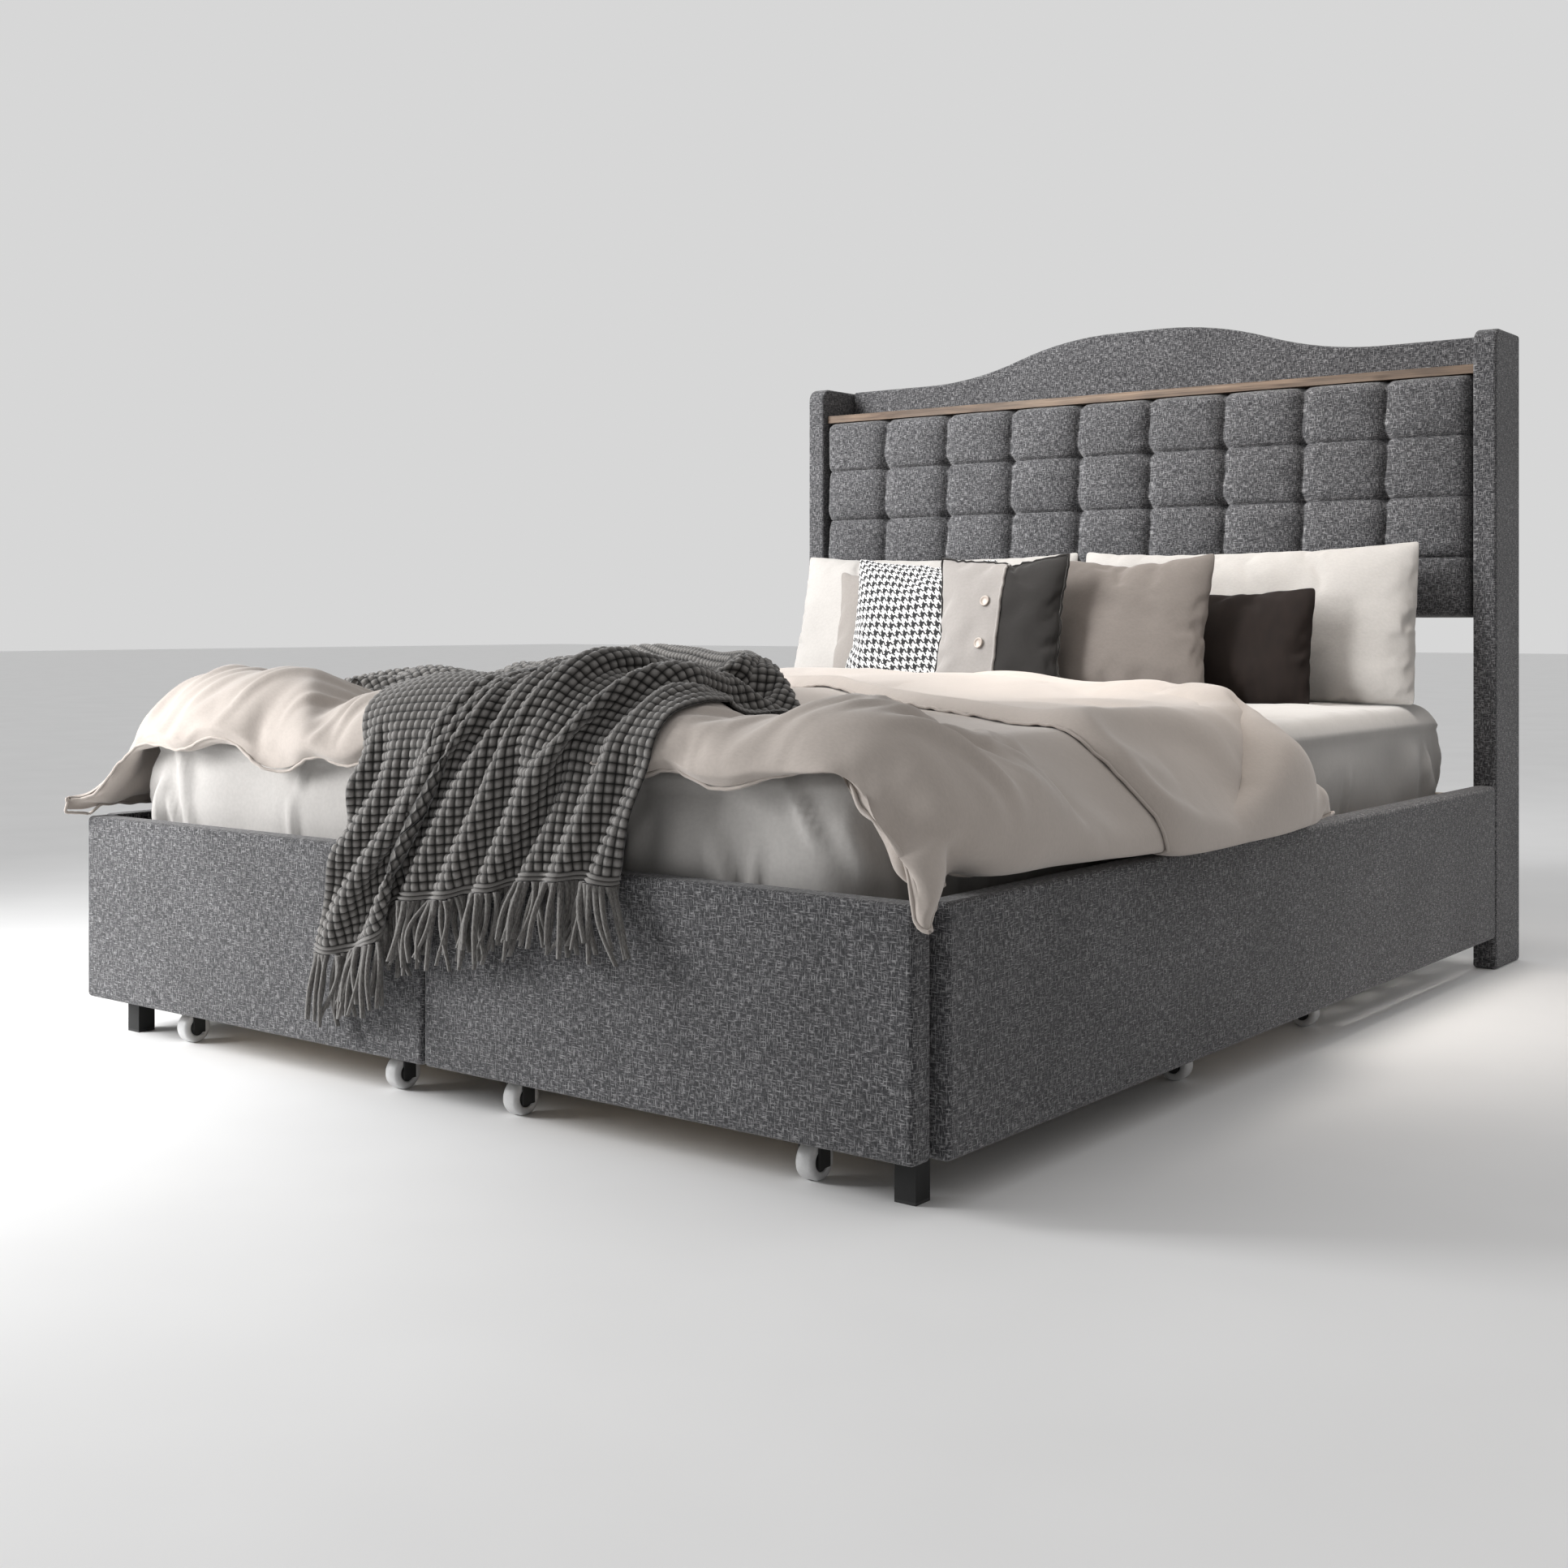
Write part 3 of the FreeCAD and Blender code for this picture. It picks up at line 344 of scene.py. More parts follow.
def coated_steel_material(name, colour, roughness=0.42):
    """Powder coat with orange peel and a little dust."""
    g = Graph(name)
    place = g.object_coordinates()
    peel = g.noise(place, 520.0, 2.0, flat=False)
    dust = g.noise(place, 14.0, 4.0, flat=False)
    tone = g.ramp(dust, [(0.35, colour), (0.75, tuple(min(1, c * 1.5 + 0.01) for c in colour))])
    rough = g.add("MapRange", Value=dust, _3=roughness - 0.06, _4=roughness + 0.14).outputs[0]
    return g.finish(tone, rough, g.bump(peel, 0.15, 0.0005), Specular_IOR_Level=0.3)


def zinc_material():
    """Zinc plate with a faint spangle."""
    g = Graph("zinc_plate")
    spangle = g.noise(g.object_coordinates(), 260.0, 2.0, flat=False)
    tone = g.ramp(spangle, [(0.35, (0.42, 0.42, 0.43)), (0.65, (0.62, 0.62, 0.64))])
    return g.finish(tone, 0.36, g.bump(spangle, 0.1, 0.0004), Metallic=1.0)


def moulded_material(name, colour, roughness=0.5):
    """Moulded plastic or rubber, slightly scuffed."""
    g = Graph(name)
    place = g.object_coordinates()
    grain = g.noise(place, 900.0, 2.0, flat=False)
    scuff = g.noise(place, 60.0, 4.0, 0.7, flat=False)
    tone = g.ramp(scuff, [(0.35, tuple(c * 0.86 for c in colour)), (0.6, colour)])
    return g.finish(tone, roughness, g.bump(grain, 0.12, 0.0004), Specular_IOR_Level=0.45)


def webbing_material():
    """Woven strap."""
    g = Graph("webbing")
    x, y, _ = g.split(g.object_coordinates())
    threads = 2600.0
    ribs = g.math("SINE", g.math("MULTIPLY", y, threads))
    cords = g.math("SINE", g.math("MULTIPLY", x, threads))
    weave = g.math("MULTIPLY", ribs, cords)
    tone = g.ramp(weave, [(0.1, grey(0.015)), (0.9, grey(0.05))])
    return g.finish(tone, 0.8, g.bump(weave, 0.4, 0.0006))


MATERIALS = {
    "upholstery": upholstery_material(),
    "board": board_material("raw_board", (0.46, 0.37, 0.27)),
    "shelf_wood": shelf_material(),
    "frame_steel": coated_steel_material("black_powder_coat", grey(0.008), 0.5),
    "bolt_steel": zinc_material(),
    "slat_wood": board_material("pine_slat", (0.66, 0.50, 0.31)),
    "webbing": webbing_material(),
    "black_plastic": moulded_material("black_plastic", grey(0.02)),
    "mattress_sheet": cotton_material("fitted_sheet", (0.40, 0.385, 0.37)),
    "duvet_cotton": cotton_material("duvet_cotton", (0.44, 0.392, 0.356)),
    "throw_knit": throw_material(),
    "white_cotton": cotton_material("white_pillowcase", (0.42, 0.40, 0.38)),
    "beige_cotton": cotton_material("beige_pillowcase", (0.245, 0.225, 0.208)),
    "houndstooth": houndstooth_material(),
    "button_cushion": cotton_material("light_cushion", (0.27, 0.253, 0.24)),
    "taupe_cotton": cotton_material("taupe_pillowcase", (0.140, 0.122, 0.110)),
    "brown_velvet": velvet_material("brown_velvet", (0.012, 0.0072, 0.0055)),
    "drawer_board": board_material("drawer_board", (0.38, 0.33, 0.28), 0.2),
    "drawer_base": board_material("drawer_base", (0.50, 0.42, 0.33), 0.2),
    "caster_steel": coated_steel_material("caster_housing", grey(0.02)),
    "caster_wheel": moulded_material("caster_tread", grey(0.62), 0.4),
}
DARK_COTTON = cotton_material("dark_cushion", (0.016, 0.0145, 0.0135))
HUB_PLASTIC = moulded_material("caster_hub", grey(0.03), 0.35)
FRINGE_YARN = yarn_material()
BUTTON_PLASTIC = moulded_material("button_shell", (0.36, 0.31, 0.27), 0.35)


def paint(piece, slot, material=None):
    """Gives a piece the material of a record slot, or its own variant of it."""
    piece.data.materials.clear()
    piece.data.materials.append(material or MATERIALS[slot])


def paint_cad_nodes():
    for row in RECORD["subparts"]:
        node = frame["nodes"][row["node"]]
        node.data.materials.clear()
        node.data.materials.append(MATERIALS[row["material_slot"]])


# ---------------------------------------------------------------- mesh helpers


def new_piece(name, points, faces, uv=None, smooth=True):
    """A mesh object from arrays; uv, where given, holds one pair for each point."""
    mesh = bpy.data.meshes.new(name)
    mesh.from_pydata(np.asarray(points, float).reshape(-1, 3).tolist(), [], faces)
    mesh.update()
    if uv is not None:
        layer = mesh.uv_layers.new(name="UVMap")
        corner = np.zeros(len(mesh.loops), int)
        mesh.loops.foreach_get("vertex_index", corner)
        layer.data.foreach_set("uv", np.asarray(uv, float).reshape(-1, 2)[corner].ravel())
    if smooth:
        mesh.shade_smooth()
    piece = bpy.data.objects.new(name, mesh)
    bpy.context.scene.collection.objects.link(piece)
    return piece


def grid_faces(rows, columns, first=0, flip=False):
    """Quads of a grid of points that are numbered row by row."""
    i, j = np.meshgrid(np.arange(rows - 1), np.arange(columns - 1), indexing="ij")
    a = (first + i * columns + j).ravel()
    quads = np.stack([a, a + 1, a + columns + 1, a + columns], axis=1)
    return (quads[:, ::-1] if flip else quads).tolist()


def ring_faces(rings, size, first=0, closed=False, flip=False):
    """Quads between rings of points; closed also joins the last ring to the first."""
    faces = []
    for k in range(rings if closed else rings - 1):
        near, far = first + k * size, first + (k + 1) % rings * size
        for j in range(size):
            m = (j + 1) % size
            sides = (near + m, far + j) if not flip else (far + j, near + m)
            faces.append([near + j, sides[0], far + m, sides[1]])
    return faces


def rim_of(rows, columns):
    """Row and column of each point round the rim of a grid."""
    rim = [(0, j) for j in range(columns)]
    rim += [(i, columns - 1) for i in range(1, rows)]
    rim += [(rows - 1, j) for j in range(columns - 2, -1, -1)]
    return rim + [(i, 0) for i in range(rows - 2, 0, -1)]


def rim_faces(rows, columns, other):
    """Quads that join the rims of two grids; the second one's numbers start at other."""
    numbers = [i * columns + j for i, j in rim_of(rows, columns)]
    following = numbers[1:] + numbers[:1]
    return [[b, a, a + other, b + other] for a, b in zip(numbers, following)]


def two_layer(name, top, bottom, uv=None):
    """A closed piece from an upper and a lower grid of points, sewn together round the rim."""
    rows, columns = top.shape[:2]
    count = rows * columns
    faces = grid_faces(rows, columns) + grid_faces(rows, columns, count, flip=True)
    faces += rim_faces(rows, columns, count)
    points = np.concatenate([top.reshape(-1, 3), bottom.reshape(-1, 3)])
    both = None if uv is None else np.concatenate([uv.reshape(-1, 2)] * 2)
    return new_piece(name, points, faces, both)


def coordinates(piece):
    """The piece's shown points, modifiers included."""
    shown = piece.evaluated_get(bpy.context.evaluated_depsgraph_get())
    mesh = shown.to_mesh()
    points = np.zeros(len(mesh.vertices) * 3, np.float32)
    mesh.vertices.foreach_get("co", points)
    shown.to_mesh_clear()
    return points.reshape(-1, 3).astype(float)


def set_coordinates(piece, points):
    piece.data.vertices.foreach_set("co", np.asarray(points, np.float32).ravel())
    piece.data.update()


def vertex_normals(piece):
    normal = np.zeros(len(piece.data.vertices) * 3)
    piece.data.vertices.foreach_get("normal", normal)
    return normal.reshape(-1, 3)


def vertex_uv(piece):
    mesh = piece.data
    corner = np.zeros(len(mesh.loops), int)
    mesh.loops.foreach_get("vertex_index", corner)
    values = np.zeros(len(mesh.loops) * 2)
    mesh.uv_layers[0].data.foreach_get("uv", values)
    uv = np.zeros((len(mesh.vertices), 2))
    uv[corner] = values.reshape(-1, 2)
    return uv


def tree_of(pieces):
    """A search tree over the faces of some pieces, and their points."""
    points, faces = [], []
    for piece in pieces:
        first = len(points)
        points += coordinates(piece).tolist()
        faces += [tuple(first + k for k in p.vertices) for p in piece.data.polygons]
    return BVHTree.FromPolygons(points, faces), points


def subdivide(piece, levels):
    """Smooths the piece's mesh for good."""
    modifier = piece.modifiers.new("subdivision", "SUBSURF")
    modifier.levels = levels
    modifier.render_levels = levels
    bake_modifiers(piece)


def bake_modifiers(piece):
    """Replaces the mesh by what its modifiers make of it."""
    shown = piece.evaluated_get(bpy.context.evaluated_depsgraph_get())
    mesh = bpy.data.meshes.new_from_object(shown)
    piece.modifiers.clear()
    old = piece.data
    piece.data = mesh
    bpy.data.meshes.remove(old)
    mesh.shade_smooth()


def join_pieces(name, pieces):
    """One piece from several, each keeping its materials."""
    for piece in bpy.context.scene.objects:
        piece.select_set(False)
    for piece in pieces:
        piece.select_set(True)
    bpy.context.view_layer.objects.active = pieces[0]
    with bpy.context.temp_override(active_object=pieces[0], selected_editable_objects=pieces):
        bpy.ops.object.join()
    pieces[0].name = name
    pieces[0].data.name = name
    return pieces[0]


def smoothstep(x, low=0.0, high=1.0):
    share = np.clip((x - low) / (high - low), 0, 1)
    return share * share * (3 - 2 * share)


def waves(x, y, seed, count, shortest, longest):
    """Smooth random field of about unit height: a sum of plane waves."""
    source = np.random.default_rng(seed)
    total = np.zeros(np.broadcast(x, y).shape)
    for _ in range(count):
        length = source.uniform(shortest, longest)
        angle, phase = source.uniform(0, 2 * math.pi, 2)
        k = 2 * math.pi / length
        total += np.sin(k * (x * math.cos(angle) + y * math.sin(angle)) + phase)
    return total / math.sqrt(count / 2)


# ---------------------------------------------------------------- headboard


def tufted_panel():
    """9 by 4 cushions: deep curved creases between columns, fine pulled-in seams between rows."""
    low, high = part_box("headboard_tufted_panel")
    columns, rows = 9, 4
    across, up = 541, 181
    x = np.linspace(low.x, high.x, across)
    z = np.linspace(low.z, high.z, up)
    xx, zz = np.meshgrid(x, z)
    sway = 0.0022 * np.sin(2 * math.pi * (zz - low.z) / (high.z - low.z) * rows)
    column = (xx + sway - low.x) / (high.x - low.x) * columns
    row = (zz - low.z) / (high.z - low.z) * rows
    s = np.abs(2 * (column - np.clip(np.floor(column), 0, columns - 1)) - 1)
    t = np.abs(2 * (row - np.floor(np.clip(row, 0, rows - 1e-6))) - 1)
    crown = np.sqrt(np.clip(1 - s ** 2.6, 0, 1))
    middle = np.sqrt(np.clip(1 - t ** 3.2, 0, 1))
    bulge = 0.030 * crown * (0.62 + 0.38 * middle)
    seam = 0.005 * np.exp(-((1 - t) / 0.030) ** 2)
    pinch = 0.014 * np.exp(-((1 - t) / 0.20) ** 2 - ((1 - s) / 0.14) ** 2)
    ruck = 0.0011 * waves(xx, zz, 3, 14, 0.03, 0.10) * (0.35 + s * t)
    depth = bulge - seam - pinch + ruck
    edge = np.minimum.reduce([xx - low.x, high.x - xx, zz - low.z, high.z - zz])
    fall = 0.022
    roll = fall - np.sqrt(np.clip(fall ** 2 - np.clip(fall - edge, 0, fall) ** 2, 0, None))
    front = low.y + 0.022 - depth + roll
    inner = np.clip(1 - edge / fall, 0, 1) * 0.0015
    centre_x, centre_z = (low.x + high.x) / 2, (low.z + high.z) / 2
    top = np.stack([xx - np.sign(xx - centre_x) * inner, front,
                    zz - np.sign(zz - centre_z) * inner], axis=-1)
    back = np.stack([xx, np.full_like(xx, high.y), zz], axis=-1)
    piece = two_layer("tufted_panel", top, back)
    paint(piece, "upholstery")
    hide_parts("headboard_tufted_panel")
    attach(piece, "bed_frame")


# ---------------------------------------------------------------- casters


def caster_wheels(node, body, along):
    """Two wheels on one axis: a pale rounded tread on a dark hub with a raised boss."""
    low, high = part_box(node)
    radius = (high.z - low.z) / 2
    width = 0.026
    axis = Vector((1, 0, 0)) if along == "X" else Vector((0, 1, 0))
    span = (high - low) @ axis
    centre = (low + high) / 2
    turns = 48
    # Each profile holds a radius and a place across the wheel, as a share of its width.
    tread = [(radius - 0.0115, 0.45), (radius - 0.010, 0.5), (radius - 0.004, 0.5),
             (radius - 0.0012, 0.5 - 0.06), (radius, 0.5 - 0.16)]
    tread += [(r, -w) for r, w in reversed(tread)]
    hub = [(0.0042, 0.47), (0.008, 0.47), (0.009, 0.40), (0.0118, 0.36), (0.0135, 0.42),
           (0.0135, -0.42), (0.0118, -0.36), (0.009, -0.40), (0.008, -0.47), (0.0042, -0.47)]
    parts = []
    for profile, material in ((tread, MATERIALS["caster_wheel"]), (hub, HUB_PLASTIC)):
        for side in (-1, 1):
            middle = centre + axis * side * (span - width) / 2
            points = []
            for k in range(turns):
                angle = 2 * math.pi * k / turns
                for r, w in profile:
                    a, b = r * math.cos(angle), r * math.sin(angle)
                    w *= width
                    offset = (w, a, b) if along == "X" else (a, w, b)
                    points.append(middle + Vector(offset))
            faces = ring_faces(turns, len(profile), closed=True, flip=True)
            part = new_piece(f"{node}_part", points, faces)
            part.data.materials.append(material)
            parts.append(part)
    piece = join_pieces(f"{node}_detailed", parts)
    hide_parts(node)
    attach(piece, body)


# ---------------------------------------------------------------- cloth helpers


def settle(piece, frames, obstacles, mass=0.25, stiffness=12.0, bending=0.5, pressure=0.0,
           gravity=1.0, grow=0.0, pinned=None, gap=0.006, damping=1.0, quality=5,
           friction=8.0):
    """Lets a piece fall and settle as cloth on the obstacles, and keeps its last shape."""
    scene = bpy.context.scene
    for obstacle in obstacles:
        obstacle.modifiers.new("collision", "COLLISION")
        obstacle.collision.thickness_outer = gap
        obstacle.collision.cloth_friction = friction
        obstacle.collision.use_culling = False
    if pinned is not None:
        group = piece.vertex_groups.new(name="pinned")
        for index, weight in pinned.items():
            group.add([index], weight, "REPLACE")
    cloth = piece.modifiers.new("cloth", "CLOTH")
    settings = cloth.settings
    settings.quality = quality
    settings.mass = mass
    settings.tension_stiffness = settings.compression_stiffness = stiffness
    settings.shear_stiffness = stiffness / 2
    settings.bending_stiffness = bending
    settings.tension_damping = settings.compression_damping = 5.0
    settings.shear_damping = 5.0
    settings.air_damping = damping
    settings.shrink_min = -grow
    settings.effector_weights.gravity = gravity
    if pressure:
        settings.use_pressure = True
        settings.uniform_pressure_force = pressure
    if pinned is not None:
        settings.vertex_group_mass = "pinned"
    collisions = cloth.collision_settings
    collisions.use_collision = bool(obstacles)
    collisions.distance_min = gap
    collisions.collision_quality = 3
    collisions.friction = friction
    collisions.use_self_collision = False
    scene.frame_start, scene.frame_end = 1, frames
    cloth.point_cache.frame_start, cloth.point_cache.frame_end = 1, frames
    for frame_number in range(1, frames + 1):
        scene.frame_set(frame_number)
    points = coordinates(piece)
    piece.modifiers.remove(cloth)
    if pinned is not None:
        piece.vertex_groups.remove(piece.vertex_groups["pinned"])
    set_coordinates(piece, points)
    for obstacle in obstacles:
        obstacle.modifiers.remove(obstacle.modifiers["collision"])
    scene.frame_set(1)


def box_obstacle(node):
    """A plain box in a CAD node's place, for cloth to land on."""
    x, y, z = zip(*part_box(node))
    points = [(x[i], y[j], z[k]) for i in (0, 1) for j in (0, 1) for k in (0, 1)]
    faces = [[0, 1, 3, 2], [4, 6, 7, 5], [0, 4, 5, 1], [2, 3, 7, 6], [0, 2, 6, 4], [1, 5, 7, 3]]
    return new_piece("obstacle", points, faces, smooth=False)


def remove(pieces):
    for piece in pieces:
        bpy.data.meshes.remove(piece.data)


def creases(a, b, lines):
    """Height of soft creases in a plane: each line is (a0, b0, a1, b1, width, height)."""
    total = np.zeros(np.broadcast(a, b).shape)
    for a0, b0, a1, b1, width, height in lines:
        da, db = a1 - a0, b1 - b0
        length = math.hypot(da, db)
        along = ((a - a0) * da + (b - b0) * db) / length ** 2
        aside = ((b - b0) * da - (a - a0) * db) / length
        taper = np.sin(np.clip(along, 0, 1) * math.pi) ** 0.7
        profile = np.exp(-(aside / width) ** 2) - 0.35 * np.exp(-(aside / width / 2.1) ** 2)
        total += height * taper * profile
    return total


# ---------------------------------------------------------------- mattress


def rounded_outline(half_x, half_y, radius, count):
    """Evenly spaced points and outward directions round a rounded rectangle."""
    straight_x, straight_y = half_x - radius, half_y - radius
    runs = [(straight_y * 2, 0), (math.pi * radius / 2, 1), (straight_x * 2, 0),
            (math.pi * radius / 2, 1)] * 2
    total = sum(length for length, _ in runs)
    points, normals = [], []
    for k in range(count):
        rest = total * k / count
        place, heading = Vector((half_x, -straight_y)), 0.0
        for length, turning in runs:
            part = min(rest, length)
            ahead = Vector((-math.sin(heading), math.cos(heading)))
            outward = Vector((math.cos(heading), math.sin(heading)))
            if turning:
                turn = part / radius
                centre = place - outward * radius
                heading += turn
                outward = Vector((math.cos(heading), math.sin(heading)))
                place = centre + outward * radius
            else:
                place = place + ahead * part
            rest -= part
            if rest <= 1e-9:
                break
        points.append(place)
        normals.append(outward)
    return np.array(points), np.array(normals)


def mattress():
    """A deep mattress in a fitted sheet that is loose at the foot and along the sides."""
    low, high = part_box("mattress")
    half_x, half_y = (high.x - low.x) / 2, (high.y - low.y) / 2
    centre_y = (low.y + high.y) / 2
    around = 720
    outline, outward = rounded_outline(half_x, half_y, 0.085, around)
    edge, hidden = 0.05, 0.33
    profile = [(0.006, 0.0, z, 0.0) for z in np.linspace(low.z, high.z - edge, 22)]
    for turn in np.linspace(0, math.pi / 2, 9)[1:]:
        profile.append((edge * (1 - math.cos(turn)), 0.0, high.z - edge + edge * math.sin(turn),
                        turn))
    for share in np.linspace(0, 1, 62)[1:]:
        profile.append((edge, share, high.z, math.pi / 2))
    step = 2 * (half_x + half_y) * 2 / around
    spine = half_y - half_x
    rings = []
    run = np.arange(around) * step
    source = np.random.default_rng(21)
    folds = []
    perimeter = step * around
    for _ in range(85):
        start = source.uniform(0, perimeter)
        top, reach = source.uniform(0.42, 0.53), source.uniform(0.06, 0.17)
        folds.append((start, top, start + source.uniform(-0.07, 0.07), top - reach,
                      source.uniform(0.008, 0.020), source.uniform(0.009, 0.020)))
    top_folds = []
    for _ in range(70):
        x, y = source.uniform(-half_x, half_x), source.uniform(-half_y, half_y)
        angle, reach = source.normal(0.25, 0.5), source.uniform(0.12, 0.45)
        top_folds.append((x, y, x + reach * math.cos(angle), y + reach * math.sin(angle),
                          source.uniform(0.010, 0.028), source.uniform(0.0012, 0.0038)))
    for inset, share, z, turn in profile:
        x = outline[:, 0] - outward[:, 0] * inset
        y = outline[:, 1] - outward[:, 1] * inset
        x, y = x * (1 - share), y * (1 - share) + np.clip(y, -spine, spine) * share
        upright = math.cos(turn)
        loose = math.sin(np.clip((z - hidden) / (high.z - edge - hidden), 0, 1) * math.pi)
        side = creases(run, z, folds) * upright + 0.006 * loose * upright
        side += 0.0035 * waves(run, z * 0.5, 5, 9, 0.09, 0.34) * loose * upright
        crown = 0.004 * (1 - (x / half_x) ** 2) * (1 - upright)
        height = creases(x, y, top_folds) * (1 - upright) + 0.0016 * waves(
            x, y, 9, 12, 0.12, 0.5) * (1 - upright)
        rings.append(np.stack([x + outward[:, 0] * side, y + centre_y + outward[:, 1] * side,
                               np.full(around, z) + crown + height - 0.004], axis=1))
    faces = ring_faces(len(rings), around)
    faces.append(list(range(around))[::-1])
    piece = new_piece("mattress_with_sheet", rings, faces)
    welded = piece.modifiers.new("weld", "WELD")
    welded.merge_threshold = 0.0002
    bake_modifiers(piece)
    paint(piece, "mattress_sheet")
    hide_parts("mattress")
    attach(piece, "bed_frame")


# ---------------------------------------------------------------- duvet

DUVET_HALF = 1.0
DUVET_ROWS, DUVET_COLUMNS, FLAP_ROWS = 60, 81, 30
DUVET_FRAMES, FLAP_FRAMES = 26, 18
DUVET_LEVEL = BED_TOP + 0.068
# The duvet turns down over the foot along an arc, which starts this far back.
DUVET_ARC, ARC_START = 0.20, 0.15
# The duvet is squeezed softly to stay within a limit at the sides, and above the drawer fronts.
SIDE_LIMIT, SIDE_SQUEEZE = 0.918, 0.04
FLOOR_SQUEEZE = 0.022
# The turned-back end's hem: how far back it lies at each distance across the duvet.
FLAP_HEM = ((-1.0, 1.33), (-0.6, 1.27), (-0.3, 1.13), (-0.15, 1.02), (0.15, 0.86), (0.42, 0.68),
            (0.60, 0.57), (0.74, 0.53), (0.88, 0.53), (1.0, 0.56))
# How far back the duvet's fold is at each distance across it.
FOLD = ((-1.0, 1.44), (0.10, 1.44), (0.40, 1.33), (0.62, 1.17), (0.78, 1.07), (0.90, 1.08),
        (1.0, 1.17))


def fold_back(s):
    """How far back the duvet's fold is, at a distance across it, with its corners smoothed."""
    places, backs = zip(*FOLD)
    return sum(np.interp(s + shift, places, backs) for shift in np.linspace(-0.08, 0.08, 9)) / 9


def duvet_middle(s, v):
    """Middle of the duvet before it settles: s metres across it, share v from hem to fold."""
    side = np.abs(s)
    arc, steep, lean = DUVET_ARC, 1.35, 1.3
    back_end = fold_back(s)
    hem = 0.012 - 0.040 * smoothstep(side, 0.74, 0.98)
    run = v * (back_end - ARC_START + arc)
    psi = np.clip(1 - run / arc, 0, 1) * steep
    back = ARC_START - (ARC_START - hem) * np.sin(psi) / math.sin(steep)
    back = back + np.clip(run - arc, 0, None)
    drop_foot = 0.108 * (1 - np.cos(psi)) / (1 - math.cos(steep))
    flat = 0.69 - 0.17 * smoothstep(back, 0.05, 0.6)
    phi = np.clip((side - flat) / (DUVET_HALF - flat), 0, 1) * lean
    x = np.sign(s) * (np.minimum(side, flat) + (0.885 - flat) * np.sin(phi) / math.sin(lean))
    most = DUVET_LEVEL - 0.385
    drop_side = most * (1 - np.cos(phi)) / (1 - math.cos(lean))
    drop = drop_foot + drop_side - drop_foot * drop_side / most
    slope = np.where(s > 0, 0.86, 0.50)
    hem_z = 0.492 - slope * np.clip(np.abs(x) - 0.715, 0, None)
    at_hem = 1 - smoothstep(v, 0.0, 0.12)
    drop = drop + at_hem * np.clip(DUVET_LEVEL - hem_z - drop, 0, None)
    return np.stack([x, FOOT_Y + back, DUVET_LEVEL - drop], axis=-1)


def normals_of(grid):
    """Upward directions of a grid of points."""
    across = np.gradient(grid, axis=1)
    along = np.gradient(grid, axis=0)
    normal = np.cross(across, along)
    return normal / np.maximum(np.linalg.norm(normal, axis=-1, keepdims=True), 1e-9)


def duvet(below):
    """The duvet's body: two layers, creased and puffed, settled on what lies below."""
    s = np.linspace(-DUVET_HALF, DUVET_HALF, DUVET_COLUMNS)
    v = np.linspace(0, 1, DUVET_ROWS)
    ss, vv = np.meshgrid(s, v)
    middle = duvet_middle(ss, vv)
    middle[..., 2] += 0.006 * waves(ss, vv, 3, 12, 0.09, 0.25) * (1 - smoothstep(vv, 0, 0.10))
    normal = normals_of(middle)
    x, back = middle[..., 0], middle[..., 1] - FOOT_Y
    angle = np.arctan2(back - 0.75, x * 0.8)
    reach = np.hypot(x * 0.9, back - 0.75)
    radial = waves(angle, reach * 0.15, 11, 12, 0.16, 0.42)
    fold = 0.011 * radial * smoothstep(reach, 0.25, 0.75) * (1 - smoothstep(back, 0.25, 0.60))
    lump = 0.006 * waves(x, back, 12, 10, 0.25, 0.6)
    rim = np.minimum.reduce([1 - np.abs(ss) / DUVET_HALF, vv * 0.8, (1 - vv) * 0.8])
    puff = 0.034 * np.sqrt(np.clip(1 - (1 - np.clip(rim / 0.12, 0, 1)) ** 2, 0.0, 1))
    lift = (fold + lump)[..., None] * normal
    top = middle + lift + normal * (puff + 0.001)[..., None]
    sink = puff * (0.2 + 0.5 * smoothstep(vv, 0.05, 0.2))
    bottom = middle + lift * 0.5 - normal * (sink + 0.001)[..., None]
    piece = two_layer("duvet_body", top, bottom)
    count = DUVET_ROWS * DUVET_COLUMNS
    held = (*range(DUVET_COLUMNS), count - DUVET_COLUMNS, count - 1)
    pins = {k + layer: 1.0 for k in held for layer in (0, count)}
    settle(piece, DUVET_FRAMES, below, mass=0.24, stiffness=12, bending=0.6, pressure=2.3,
           grow=0.03, gap=0.006, pinned=pins, friction=20.0)
    # The underside stays below the top, by at least half of how far the duvet is puffed up.
    points = coordinates(piece)
    upper, lower = points.reshape(2, *top.shape)
    facing = normals_of(upper)
    short = puff * 0.5 - np.sum((upper - lower) * facing, axis=-1)
    lower -= facing * np.clip(short, 0, None)[..., None]
    set_coordinates(piece, points)
    return piece


